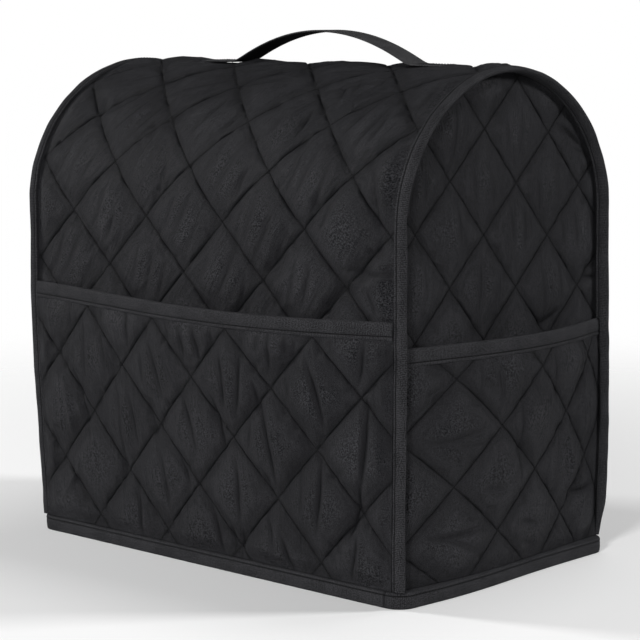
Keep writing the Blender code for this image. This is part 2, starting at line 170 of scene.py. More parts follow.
# creases for the diamonds that the photo doesn't show, as rows like the ones above
def drawnCreases(lattice, low, high, angle, each, seed, depth=1.0):
    rows = []
    uRange, vRange = lattice.lines(low, high)
    for u in uRange:
        for v in vRange:
            for n in range(each):
                chance = [float(scatter(u * 3.1 + n, v * 1.7 - n, seed + m)) for m in range(6)]
                share = (n + 0.25 + 0.5 * chance[0]) / each - 0.5
                k = 0.5 * (u + v + 1.0) + 0.62 * share * math.sin(math.radians(angle))
                m = 0.5 * (u - v) - 0.62 * share * math.cos(math.radians(angle)) + 0.20 * (chance[1] - 0.5)
                a, b = lattice.place(k, m)
                if low[0] < a < high[0] and low[1] < b < high[1]:
                    rows.append((k, m, angle + 20.0 * (chance[2] - 0.5), 15.0 + 13.0 * chance[3],
                                 -depth * (0.3 + 1.0 * chance[5])))
    return rows


class Lattice:
    # stitch lines cross at whole steps along and up, and midway between
    def __init__(self, along, up, pitchAlong, pitchUp, crowd=0.0, slant=0.0):
        self.along, self.up = along, up
        self.pitchAlong, self.pitchUp = pitchAlong, pitchUp
        self.crowd, self.slant = crowd, slant
        self.spacing = 1.0 / math.hypot(1.0 / pitchAlong, 1.0 / pitchUp)

    def place(self, k, m):
        a = self.along + self.pitchAlong * k + self.crowd * k * k
        return a, self.up + self.pitchUp * m - self.slant * (a - self.along)

    def column(self, a):
        if self.crowd == 0.0:
            return (a - self.along) / self.pitchAlong
        root = self.pitchAlong ** 2 + 4.0 * self.crowd * (a - self.along)
        return (np.sqrt(root) - self.pitchAlong) / (2.0 * self.crowd)

    def row(self, a, b):
        return (b - self.up + self.slant * (a - self.along)) / self.pitchUp

    # numbers of the stitch lines, both ways, that cross a panel between two corners
    def lines(self, low, high):
        corners = [(self.column(a), self.row(a, b)) for a in (low[0], high[0]) for b in (low[1], high[1])]
        sums, differences = [k + m for k, m in corners], [k - m for k, m in corners]
        return [range(math.floor(min(both)), math.ceil(max(both)) + 1) for both in (sums, differences)]

    # wadding between the lines, from 0 on a line to about 1
    def pillow(self, k, m):
        u, v = k + m, k - m
        share, stepU, stepV = body["uneven"]
        uneven = np.sin(stepU * np.floor(u) + stepV * np.floor(v))
        flat = np.abs(np.sin(math.pi * u) * np.sin(math.pi * v))
        return flat ** body["puffPower"] * (1.0 + share * uneven)

    # distance to the nearest stitch line, in metres, near enough
    def lineDistance(self, k, m):
        u, v = k + m, k - m
        return self.spacing * np.minimum(np.abs(u - np.round(u)), np.abs(v - np.round(v)))

    # small gathers across each stitch line, where the thread draws the cloth up
    def gathers(self, k, m, seed):
        u, v = k + m, k - m
        total = 0.0
        for line, other in ((u, v), (v, u)):
            nearest = np.round(line)
            away = self.spacing * np.abs(line - nearest)
            run = other * self.spacing * 1.2
            pace = run / fine["gatherPitch"] + 1.3 * noise(run / fine["gatherDrift"], nearest * 3.7, seed)
            wave = noise(pace, nearest * 5.1 + 0.5 * np.sign(line - nearest), seed + 3)
            wave = wave * np.exp(-away / fine["gatherReach"])
            total = total + wave * smooth(0.0, fine["gatherStart"], away)
        return total


lattices = {
    "wrap": Lattice(0.019, 0.348, 0.083, 0.0815),
    "side": Lattice(0.016, 0.297, 0.078, 0.078, slant=0.07),
    "frontPocket": Lattice(0.0, 0.150, 0.082, 0.085),
    "sidePocket": Lattice(-0.065, 0.160, 0.1075, 0.080, crowd=-0.013),
}

# Outline of front, top and back, by length along it
archTurn = np.linspace(0.0, math.pi, 1201)
archY = -body["halfDepth"] * np.sign(np.cos(archTurn)) * np.abs(np.cos(archTurn)) ** (2 / body["archPower"])
archZ = body["wallHeight"] + body["archHeight"] * np.abs(np.sin(archTurn)) ** (2 / body["archPower"])
archLength = np.concatenate([[0.0], np.cumsum(np.hypot(np.diff(archY), np.diff(archZ)))]) + body["wallHeight"]
archEnd = archLength[-1]
girth = archEnd + body["wallHeight"]
crown = body["wallHeight"] + body["archHeight"]
archDy, archDz = np.gradient(archY), np.gradient(archZ)
archSize = np.hypot(archDy, archDz)


def outline(length, offset):
    length = np.asarray(length, float)
    inside = clamp(length, body["wallHeight"], archEnd)
    y = np.interp(inside, archLength, archY)
    z = np.interp(inside, archLength, archZ)
    outY = np.interp(inside, archLength, -archDz / archSize)
    outZ = np.interp(inside, archLength, archDy / archSize)
    front, back = length < body["wallHeight"], length > archEnd
    outY = np.where(front, -1.0, np.where(back, 1.0, outY))
    outZ = np.where(front | back, 0.0, outZ)
    y = np.where(front, -body["halfDepth"], np.where(back, body["halfDepth"], y))
    z = np.where(front, length, np.where(back, girth - length, z))
    return y + offset * outY, z + offset * outZ


def bulge(sizes, value):
    height, middle, reach = sizes
    return height * np.exp(-((value - middle) / reach) ** 2)


# The cover's slight lean, the same as in its solids, then into the frame
def settle(points):
    x, y, z = points[..., 0], points[..., 1], points[..., 2]
    left, right = clamp(-x / lean["reach"]), clamp(x / lean["reach"])
    front = clamp(0.5 - y / (2.0 * body["halfDepth"]))
    low = clamp(1.0 - z / lean["drawHeight"]) ** lean["drawPower"]
    xMove = lean["cornerDraw"] * left * front * low
    xMove = xMove + right * low * bulge(lean["sideBulge"], y)
    xMove = xMove + right * (1.0 - front) * bulge(lean["backBulge"], z)
    yMove = -lean["frontSwing"] * clamp(x / lean["swingReach"], -1.0, 1.0) * front * low
    middleX, middleY = body["middle"]
    return np.stack([x + xMove - middleX, y + yMove - middleY, z], -1)


pocketSizes = {
    "front": {"top": 0.206, "gape": 0.020, "sag": 0.0030, "skew": 1.30, "swell": 1.25, "half": 0.190},
    "side": {"top": 0.186, "gape": 0.015, "sag": 0.0010, "skew": 1.20, "swell": 1.10, "half": 0.1190},
    "tapeHeight": 0.0125,
    "tapeThickness": 0.0033,
    "tapeStep": 0.0022,
    "pressed": 0.30,         # wadding behind a pocket rises at most this share of the space there
    "mouthMargin": 0.004,
    "drift": 0.0007,
    "edgeFade": 0.012,
    "mouthFade": (-0.003, 0.014),
    "hang": 0.014,           # how far the gathers reach down from the tape
    "hollow": 0.0008,
}


def mouth(pocket, a):
    share = clamp((a + pocket["half"]) / (2.0 * pocket["half"]))
    return np.sin(math.pi * share ** pocket["skew"])


def pocketHeight(pocket, z):
    return clamp((z - body["hemHeight"]) / (pocket["top"] - body["hemHeight"]))


def pocketGap(pocket, a, z):
    return body["seat"] + pocket["gape"] * mouth(pocket, a) * pocketHeight(pocket, z) ** pocket["swell"]


def pocketSag(pocket, a, z):
    return pocket["sag"] * mouth(pocket, a) * pocketHeight(pocket, z) ** 2


def flare(y, z):
    low = clamp(1.0 - z / body["flareHeight"]) ** 2
    return body["flare"] * low * clamp(1.0 - (y / body["flareHalf"]) ** 2)


handle = {
    "width": 0.025,
    "thickness": 0.0020,
    "middle": 0.017,
    "halfSpan": 0.090,
    "rise": 0.0252,
    "end": 0.124,
    "ease": 0.0022,
    "ribPitch": 0.0024,
    "ribHeight": 0.00030,
    "edge": 0.0016,          # rounded selvedge
    "boxInset": 0.003,       # sewn box at each end
    "boxLength": 0.026,
    "boxPitch": 0.0028,
    "boxThread": 0.00028,
}


def strapUnder(x):
    arch = handle["rise"] * (1.0 - ((x - handle["middle"]) / handle["halfSpan"]) ** 2)
    return crown + body["seat"] + 0.5 * (arch + np.sqrt(arch * arch + handle["ease"] ** 2))


# Shader maths
class Wire:
    # a socket that can be used in sums
    def __init__(self, finish, socket):
        self.finish, self.socket = finish, socket

    def maths(self, operation, first, second=0.0):
        return self.finish.node("ShaderNodeMath", {"operation": operation}, {0: first, 1: second})

    def __add__(self, other):
        return self.maths("ADD", self, other)

    def __radd__(self, other):
        return self.maths("ADD", other, self)

    def __sub__(self, other):
        return self.maths("SUBTRACT", self, other)

    def __rsub__(self, other):
        return self.maths("SUBTRACT", other, self)

    def __mul__(self, other):
        return self.maths("MULTIPLY", self, other)

    def __rmul__(self, other):
        return self.maths("MULTIPLY", other, self)

    def __truediv__(self, other):
        return self.maths("DIVIDE", self, other)

    def __pow__(self, other):
        return self.maths("POWER", self, other)

    def sine(self):
        return self.maths("SINE", self)

    def size(self):
        return self.maths("ABSOLUTE", self)

    def ramp(self, low, high, lowValue=0.0, highValue=1.0):
        settings = {"interpolation_type": "SMOOTHSTEP"}
        sockets = {"Value": self, "From Min": low, "From Max": high, "To Min": lowValue, "To Max": highValue}
        return self.finish.node("ShaderNodeMapRange", settings, sockets, "Result")


class Finish:
    # a material and its nodes
    def __init__(self, name):
        self.material = bpy.data.materials.new(name)
        self.material.use_nodes = True
        self.tree = self.material.node_tree
        self.shader = self.tree.nodes["Principled BSDF"]

    def node(self, kind, settings=None, sockets=None, output=0):
        made = self.tree.nodes.new(kind)
        for key, value in (settings or {}).items():
            setattr(made, key, value)
        for key, value in (sockets or {}).items():
            self.plug(made.inputs[key], value)
        return Wire(self, made.outputs[output])

    def plug(self, socket, value):
        if isinstance(value, Wire):
            self.tree.links.new(value.socket, socket)
        else:
            socket.default_value = value

    def flat(self):
        place = self.node("ShaderNodeAttribute", {"attribute_name": "flat"}, output="Vector")
        return place, [self.node("ShaderNodeSeparateXYZ", None, {0: place}, axis) for axis in "XYZ"]

    def speckle(self, place, scale, detail=2.0, roughness=0.5):
        sockets = {"Vector": place, "Scale": scale, "Detail": detail, "Roughness": roughness}
        return self.node("ShaderNodeTexNoise", {"noise_dimensions": "3D"}, sockets, "Fac")

    def blend(self, share, first, second):
        first, second = ((*item, 1.0) if isinstance(item, tuple) else item for item in (first, second))
        # a Mix node has its colours on sockets 6 and 7, and gives one on 2
        return self.node("ShaderNodeMix", {"data_type": "RGBA"}, {0: share, 6: first, 7: second}, 2)

    def bump(self, height, distance, strength=1.0, under=None):
        sockets = {"Height": height, "Distance": distance, "Strength": strength}
        if under:
            sockets["Normal"] = under
        return self.node("ShaderNodeBump", None, sockets, "Normal")

    def surface(self, **values):
        for key, value in values.items():
            self.plug(self.shader.inputs[key.replace("_", " ")], value)
        return self.material


clothLook = {
    "dark": (0.0008, 0.0008, 0.0011),
    "light": (0.050, 0.050, 0.0548),
    # colour of the painted shade in stitch grooves, in the hollows beside them, in the dips of gathers and at
    # the bottoms of creases
    "grooveShade": (0.0024, 0.0024, 0.0028),
    "roughness": 0.52,
    "shine": 0.035,
    "grain": 820.0,           # specks per metre
    "fleck": 1700.0,
    "grainDepth": 0.00022,
    "creaseDepth": 0.0018,
    "threadPitch": 0.00062,
    "wide": 14.0,             # broad uneven patches per metre
    "shares": (0.14, 0.56, 0.30),    # of patches, specks and flecks in its colour
    "grooveShadeShare": 0.82,
    "roughnessSwing": 0.08,
}
tapeLook = {
    "dark": (0.0012, 0.0012, 0.0015),
    "light": (0.056, 0.056, 0.0605),
    "grain": 1150.0,
    "ribPitch": 0.0013,
    "slant": 0.0,
    "depth": 0.00030,
    "shine": 0.03,
}
tapeShares = (0.36, 0.50, 0.14)      # of ribs, specks and patches in a tape's colour
tapePatches = 60.0                   # patches per metre
threadLook = {"dark": (0.003, 0.003, 0.0034), "light": (0.012, 0.012, 0.013), "twist": 2600.0}


def clothFinish():
    print("finish: quilted cloth")
    finish = Finish("quilted cloth")
    place, (a, b, grooveShade) = finish.flat()
    wide = finish.speckle(place, clothLook["wide"], 3.0)
    grain = finish.speckle(place, clothLook["grain"], 1.0)
    fleck = finish.speckle(place, clothLook["fleck"], 0.0)
    turns = 2.0 * math.pi / clothLook["threadPitch"]
    weave = (a * turns).sine() * (b * turns).sine()
    wideShare, grainShare, fleckShare = clothLook["shares"]
    shade = wide.ramp(0.3, 0.7) * wideShare + grain.ramp(0.40, 0.63) * grainShare
    shade = shade + fleck.ramp(0.34, 0.68) * fleckShare
    colour = finish.blend(shade, clothLook["dark"], clothLook["light"])
    # painted shade: darker where the mask in the flat attribute says
    colour = finish.blend(grooveShade * clothLook["grooveShadeShare"], colour, clothLook["grooveShade"])
    middle, swing = clothLook["roughness"], clothLook["roughnessSwing"]
    roughness = grain.ramp(0.3, 0.7, middle - swing, middle + swing)
    pulled = finish.node("ShaderNodeAttribute", {"attribute_name": "pulled"}, output="Vector")
    creased = (finish.speckle(pulled, 1.0, 2.0, 0.55) - 0.5).size()
    normal = finish.bump(creased, clothLook["creaseDepth"])
    normal = finish.bump(weave * 0.3 + grain + fleck * 0.7, clothLook["grainDepth"], 1.0, normal)
    return finish.surface(Base_Color=colour, Roughness=roughness, Normal=normal,
                          Specular_IOR_Level=clothLook["shine"])


def tapeFinish(name, look):
    print("finish:", name)
    finish = Finish(name)
    place, (along, across, grooveShade) = finish.flat()
    grain = finish.speckle(place, look["grain"], 1.0)
    wide = finish.speckle(place, tapePatches, 3.0)
    turns = 2.0 * math.pi / look["ribPitch"]
    slant = look["slant"]
    rib = ((along + across * slant) * turns).sine() * 0.5 + 0.5
    ribShare, grainShare, wideShare = tapeShares
    shade = rib * ribShare + grain.ramp(0.38, 0.63) * grainShare + wide.ramp(0.3, 0.7) * wideShare
    colour = finish.blend(shade, look["dark"], look["light"])
    # painted shade in the sewn line's channel on the tape
    colour = finish.blend(grooveShade, colour, clothLook["grooveShade"])
    normal = finish.bump(rib * 0.6 + grain, look["depth"])
    return finish.surface(Base_Color=colour, Roughness=grain.ramp(0.3, 0.7, 0.55, 0.75), Normal=normal,
                          Specular_IOR_Level=look["shine"])


def threadFinish():
    finish = Finish("sewing thread")
    place = finish.node("ShaderNodeTexCoord", None, None, "Object")
    twist = finish.speckle(place, threadLook["twist"], 1.0)
    colour = finish.blend(twist.ramp(0.3, 0.7), threadLook["dark"], threadLook["light"])
    return finish.surface(Base_Color=colour, Roughness=0.5, Specular_IOR_Level=0.06)


# Mesh making
def newPiece(name, points, faces, material, flat=None, inFrame=False, pull=None):
    points = points if inFrame else settle(np.asarray(points, float))
    mesh = bpy.data.meshes.new(name)
    mesh.from_pydata(points.tolist(), [], [tuple(face) for face in faces])
    marks = {}
    if flat is not None:
        marks["flat"] = flat
    if pull is not None:
        turn = math.radians(pull)
        a, b = flat[:, 0], flat[:, 1]
        along, across = a * math.cos(turn) + b * math.sin(turn), b * math.cos(turn) - a * math.sin(turn)
        stretched = [along / fine["creaseLength"], across / fine["creaseWidth"], np.full(a.shape, pull)]
        marks["pulled"] = np.stack(stretched, -1)
    for key, values in marks.items():
        data = mesh.attributes.new(key, "FLOAT_VECTOR", "POINT")
        data.data.foreach_set("vector", np.asarray(values, np.float32).ravel())
    mesh.materials.append(material)
    mesh.validate()
    mesh.shade_smooth()
    mesh.set_sharp_from_angle(angle=math.radians(fine["smoothAngle"]))
    piece = bpy.data.objects.new(name, mesh)
    bpy.context.scene.collection.objects.link(piece)
    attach(piece, "root")
    return piece


# positions from one end to the other, each on a whole step of the lattice
def gridLines(first, last, cells):
    step = 1.0 / cells
    start = math.ceil(first / step + 0.3)
    stop = math.ceil(last / step - 0.3)
    return np.array([first] + [n * step for n in range(start, stop)] + [last])


def pick(count, step):
    return np.array(list(range(0, count - 1, step)) + [count - 1])


# triangles of a grid of cells, each split along the stitch line nearest to it
def gridTriangles(columns, rows, numbers):
    k = 0.5 * (columns[1:] + columns[:-1])[None, :]
    m = 0.5 * (rows[1:] + rows[:-1])[:, None]
    u, v = k + m, k - m
    falling = np.abs(u - np.round(u)) < np.abs(v - np.round(v))
    a, b = numbers[:-1, :-1], numbers[:-1, 1:]
    c, d = numbers[1:, 1:], numbers[1:, :-1]
    first = np.where(falling[..., None], np.stack([a, b, d], -1), np.stack([a, b, c], -1))
    second = np.where(falling[..., None], np.stack([b, c, d], -1), np.stack([a, c, d], -1))
    return np.concatenate([first.reshape(-1, 3), second.reshape(-1, 3)])


# painted shade: how dark a spot is drawn in stitch grooves, the hollows beside them, the dips of the gathers and
# the bottoms of creases
def paintedShadeMask(lattice, a, b, k, m, look):
    away = lattice.lineDistance(k, m)
    share, cell = fine["ragged"]
    ragged = 1.0 + share * noise(a / cell, b / cell, 7)
    # painted shade in the stitch channel
    grooveShade = np.exp(-(away / (fine["grooveShadeWidth"] * ragged)) ** 1.3)
    # painted shade that fades away from each stitch line
    hollow = fine["hollow"] * np.exp(-away / fine["hollowShadeWidth"])
    # painted shade in the dips of the gathers
    gatherShade = fine["gatherShade"] * clamp(-lattice.gathers(k, m, look["gatherSeed"]))
    # painted shade at the bottoms of the creases
    creaseFloorShade = creases(lattice, a, b, look["rows"], look["creaseWidth"], fine["creaseShadeShare"])
    creaseFloorShade = clamp(-creaseFloorShade / look["fullShadeDepth"])
    return clamp(np.maximum(grooveShade, np.maximum(hollow + gatherShade, creaseFloorShade)))


# A sheet of quilted cloth: a fine outer face, a coarser inner face and a rim between them.
# surface(a, b, lift) is the point that far outside the inner face.
def quiltedSheet(name, lattice, columns, rows, surface, height, inner, look, turned=False):
    k, m = np.meshgrid(columns, rows)
    a, b = lattice.place(k, m)
    outer = surface(a, b, body["cloth"] + height(a, b, k, m))
    # the third value is the painted shade mask
    outerFlat = np.stack([a, b, paintedShadeMask(lattice, a, b, k, m, look)], -1)
    numbers = np.arange(k.size).reshape(k.shape)
    pickedColumns, pickedRows = pick(len(columns), fine["innerStep"]), pick(len(rows), fine["innerStep"])
    grid = np.ix_(pickedRows, pickedColumns)
    under = surface(a[grid], b[grid], inner(a[grid], b[grid], k[grid], m[grid]))
    underNumbers = k.size + np.arange(under[..., 0].size).reshape(under.shape[:2])
    faces = gridTriangles(columns, rows, numbers).tolist()
    innerFaces = gridTriangles(columns[pickedColumns], rows[pickedRows], underNumbers)
    faces += innerFaces[:, ::-1].tolist()
    for n, (low, high) in enumerate(zip(pickedRows, pickedRows[1:])):
        faces.append(numbers[low:high + 1, 0].tolist() + underNumbers[[n + 1, n], 0].tolist())
        faces.append(numbers[low:high + 1, -1][::-1].tolist() + underNumbers[[n, n + 1], -1].tolist())
    for n, (low, high) in enumerate(zip(pickedColumns, pickedColumns[1:])):
        faces.append(numbers[0, low:high + 1][::-1].tolist() + underNumbers[0, [n, n + 1]].tolist())
        faces.append(numbers[-1, low:high + 1].tolist() + underNumbers[-1, [n + 1, n]].tolist())
    if turned:
        faces = [face[::-1] for face in faces]
    points = np.concatenate([outer.reshape(-1, 3), under.reshape(-1, 3)])
    underFlat = outerFlat[grid].reshape(-1, 3)
    flat = np.concatenate([outerFlat.reshape(-1, 3), underFlat])
    return newPiece(name, points, faces, clothMaterial, flat, pull=look["pull"])


# A sheet cut to an outline: keep(a, b) is above nought inside it. Both faces have the same cells.
def cutSheet(name, lattice, columns, rows, surface, height, inner, keep, look, turned=False):
    k, m = np.meshgrid(columns, rows)
    triangles = gridTriangles(columns, rows, np.arange(k.size).reshape(k.shape))
    k, m = k.ravel(), m.ravel()
    a, b = lattice.place(k, m)
    value = keep(a, b)
    value = np.where(np.abs(value) < 1e-5, 1e-5, value)
    inside = value > 0
    count = inside[triangles].sum(1)
    faces = triangles[count == 3].tolist()
    extra, cuts = [], {}

    def cut(one, other):
        key = (min(one, other), max(one, other))
        if key not in cuts:
            share = value[one] / (value[one] - value[other])
            cuts[key] = len(k) + len(extra)
            extra.append((k[one] + share * (k[other] - k[one]), m[one] + share * (m[other] - m[one])))
        return cuts[key]

    for triangle in triangles[(count == 1) | (count == 2)].tolist():
        ring = []
        for n in range(3):
            one, other = triangle[n], triangle[(n + 1) % 3]
            if inside[one]:
                ring.append(one)
            if inside[one] != inside[other]:
                ring.append(cut(one, other))
        faces += [[ring[0], ring[n], ring[n + 1]] for n in range(1, len(ring) - 1)]
    k = np.concatenate([k, [place[0] for place in extra]])
    m = np.concatenate([m, [place[1] for place in extra]])
    used = np.unique(np.array(faces))
    renumber = np.zeros(len(k), int)
    renumber[used] = np.arange(len(used))
    faces = renumber[np.array(faces)]
    k, m = k[used], m[used]
    a, b = lattice.place(k, m)
    outer = surface(a, b, body["cloth"] + height(a, b, k, m))
    under = surface(a, b, inner(a, b, k, m))
    edges = np.concatenate([faces[:, [0, 1]], faces[:, [1, 2]], faces[:, [2, 0]]])
    single = {}
    for one, other in edges.tolist():
        if (other, one) in single:
            del single[(other, one)]
        else:
            single[(one, other)] = True
    total = len(used)
    rim = [[other, one, one + total, other + total] for one, other in single]
    everything = faces.tolist() + (faces[:, ::-1] + total).tolist() + rim
    if turned:
        everything = [face[::-1] for face in everything]
    # the third value is the painted shade mask
    flat = np.stack([a, b, paintedShadeMask(lattice, a, b, k, m, look)], -1)
    points, flat = np.concatenate([outer, under]), np.concatenate([flat, flat])
    return newPiece(name, points, everything, clothMaterial, flat, pull=look["pull"])


# A bar made of rings of points; closed ones end where they start
def bar(name, rings, material, flat, closed=False):
    rings = np.asarray(rings, float)
    count, size = rings.shape[:2]
    numbers = np.arange(count * size).reshape(count, size)
    after = np.roll(numbers, -1, 1)
    if closed:
        low, high = numbers, np.roll(numbers, -1, 0)
        lowAfter, highAfter = after, np.roll(after, -1, 0)
    else:
        low, high, lowAfter, highAfter = numbers[:-1], numbers[1:], after[:-1], after[1:]
    faces = np.stack([low, lowAfter, highAfter, high], -1).reshape(-1, 4).tolist()
    if not closed:
        faces += [numbers[0][::-1].tolist(), numbers[-1].tolist()]
    return newPiece(name, rings.reshape(-1, 3), faces, material, np.asarray(flat).reshape(-1, 3))


# Stitches: short arched threads laid between pairs of points, each with the cloth's outward direction
def stitches(name, starts, ends, outward, material, radius=None):
    radius = radius or fine["threadRadius"]
    starts, ends, outward = (np.asarray(item, float) for item in (starts, ends, outward))
    sides, stations = 4, np.linspace(0.0, 1.0, 5)
    run = ends - starts
    along = run / np.linalg.norm(run, axis=1, keepdims=True)
    side = np.cross(along, outward)
    side /= np.linalg.norm(side, axis=1, keepdims=True)
    up = np.cross(side, along)
    rings = []
    for t in stations:
        arch = math.sin(math.pi * t)
        middle = starts + run * t + up * radius * (1.5 * arch - 0.9)
        thick = radius * (0.45 + 0.55 * arch ** 0.5)
        for n in range(sides):
            turn = 2.0 * math.pi * n / sides
            rings.append(middle + (side * math.cos(turn) + up * math.sin(turn)) * thick)
    points = np.stack(rings, 1).reshape(-1, 3)
    pattern = []
    for s in range(len(stations) - 1):
        for n in range(sides):
            after = (n + 1) % sides
            pattern.append([s * sides + n, s * sides + after, (s + 1) * sides + after, (s + 1) * sides + n])
    caps = [list(range(sides))[::-1], [(len(stations) - 1) * sides + n for n in range(sides)]]
    each = sides * len(stations)
    offsets = (np.arange(len(starts)) * each)[:, None, None]
    faces = (np.array(pattern)[None] + offsets).reshape(-1, 4).tolist()
    faces += (np.array(caps)[None] + offsets).reshape(-1, sides).tolist()
    return newPiece(name, points, faces, material, inFrame=True)


# Stitches along all lines of a lattice inside a panel. show(a, b) picks the stretches that get thread.
def quiltStitches(name, lattice, low, high, surface, height, show, material):
    starts, ends, outward = [], [], []
    uRange, vRange = lattice.lines(low, high)
    spacing = math.hypot(lattice.pitchAlong, lattice.pitchUp) * 0.5
    step = fine["stitchPitch"] / spacing
    reach = fine["stitchLength"] / fine["stitchPitch"] * step
    for kind, (own, other) in enumerate(((uRange, vRange), (vRange, uRange))):
        for line in own:
            t = np.arange(other[0] - 1.0, other[-1] + 1.0, step)
            pair = []
            for shift in (0.0, reach, 0.5 * reach):
                u, v = (line, t + shift) if kind == 0 else (t + shift, line)
                k, m = 0.5 * (u + v) + 0.0 * t, 0.5 * (u - v) + 0.0 * t
                a, b = lattice.place(k, m)
                lift = body["cloth"] + height(a, b, k, m)
                pair.append((a, b, surface(a, b, lift), surface(a, b, lift + 0.001)))
            kept = np.ones(len(t), bool)
            for a, b, _, _ in pair[:2]:
                kept &= (a > low[0]) & (a < high[0]) & (b > low[1]) & (b < high[1]) & show(a, b)
            starts.append(settle(pair[0][2])[kept])
            ends.append(settle(pair[1][2])[kept])
            outward.append((settle(pair[2][3]) - settle(pair[2][2]))[kept])
    return stitches(name, np.concatenate(starts), np.concatenate(ends), np.concatenate(outward), material)


# Stitches along a route that is already in the frame, with the outward direction at each point
def routeStitches(name, route, outward, material, pitch=None, radius=None):
    pitch = pitch or fine["stitchPitch"]
    route, outward = np.asarray(route, float), np.asarray(outward, float)
    run = np.concatenate([[0.0], np.cumsum(np.linalg.norm(np.diff(route, axis=0), axis=1))])
    at = np.arange(0.5 * pitch, run[-1] - pitch, pitch)
    reach = pitch * fine["stitchLength"] / fine["stitchPitch"]
    starts = np.stack([np.interp(at, run, route[:, n]) for n in range(3)], 1)
    ends = np.stack([np.interp(at + reach, run, route[:, n]) for n in range(3)], 1)
    out = np.stack([np.interp(at, run, outward[:, n]) for n in range(3)], 1)
    return stitches(name, starts, ends, out, material, radius)


clothMaterial = clothFinish()
tapeMaterial = tapeFinish("binding tape", tapeLook)
webbingLook = {
    "dark": (0.0006, 0.0006, 0.0008),
    "light": (0.085, 0.085, 0.089),
    "grain": 1400.0,
    "ribPitch": 0.0026,
    "slant": 2.2,
    "depth": 0.00030,
    "shine": 0.05,
}
webbingMaterial = tapeFinish("handle webbing", webbingLook)
threadMaterial = threadFinish()


# The long panel over front, top and back
wrapFolds = {
    "gatherSeed": 17,
    "fullShadeDepth": 0.0026,    # crease depth whose bottom gets the full painted shade
    "pull": 58.0,            # way the finest creases run, in degrees
    "fan": 0.0010,           # slanting folds on the upper front
    "crown": 0.0010,         # nearly level folds over the top
    "gathers": 0.0014,
    "drift": 0.0008,
    "edgeFade": 0.014,
    "strapRoom": 0.0007,     # the cloth stays this far below the handle
    "strapPress": (0.014, 0.026),    # from flat to full, by distance from the handle's middle line
    "strapMargin": 0.006,
    "creaseWidth": 0.0031,
    "byHand": [
        # over the crown
        (-1.8, 0.6, 45, 20, -0.9), (-1.6, 0.4, 25, 25, -0.9), (-1.2, 0.8, 45, 25, -0.9),
        (-0.9, 0.5, 25, 30, -1.0), (-0.4, 0.9, 35, 20, -0.7), (-0.2, 0.6, 15, 30, -0.9),
        (0.7, 0.9, 25, 25, -0.8), (0.9, 0.5, 20, 25, -0.8),
        # the fans below it, left to right
        (-2.0, 0.1, 105, 10, -0.9), (-1.7, 0.2, 45, 20, -1.1), (-1.5, 0.1, 60, 25, -1.3),
        (-1.3, 0.0, 60, 25, -1.3), (-1.2, -0.1, 55, 15, -1.2), (-0.6, -0.1, 90, 10, -0.7),
        (-0.5, 0.1, 70, 15, -1.3), (-0.2, 0.0, 65, 15, -1.3), (0.4, 0.0, 65, 10, -0.8),
        (0.6, 0.2, 55, 10, -0.9), (0.7, 0.0, 85, 15, -1.6), (0.9, 0.4, 110, 10, -1.1),
        (1.0, 0.5, 110, 10, -1.1), (1.2, 0.6, 100, 10, -1.0), (1.3, 0.1, 65, 25, -1.3),
        (1.5, 0.0, 70, 20, -1.2), (1.6, 0.0, 80, 15, -1.1), (1.9, 0.4, 90, 15, -0.9),
        # free part of the upper front
        (1.8, -0.7, 105, 25, -1.6), (1.8, -1.3, 0, 30, -1.4), (1.8, -1.4, 5, 25, 0.9),
        (1.7, -1.2, 30, 12, -0.7), (1.8, -1.6, 115, 10, -1.2), (1.3, -1.7, 100, 8, -1.0)],
}


# drawn ones on the upper front, over the top, and down the back
wrapCreases = list(wrapFolds["byHand"])
for low, high, angle, seed, depth in (((-0.165, 0.185), (0.125, 0.330), 66.0, 400, 0.9),
                                      ((-0.185, 0.425), (0.185, 0.500), 18.0, 410, 0.9),
                                      ((-0.185, 0.500), (0.185, 0.590), 118.0, 420, 1.1),
                                      ((-0.185, 0.590), (0.185, 0.900), 94.0, 430, 1.1)):
    wrapCreases += drawnCreases(lattices["wrap"], low, high, angle, 3, seed, depth)


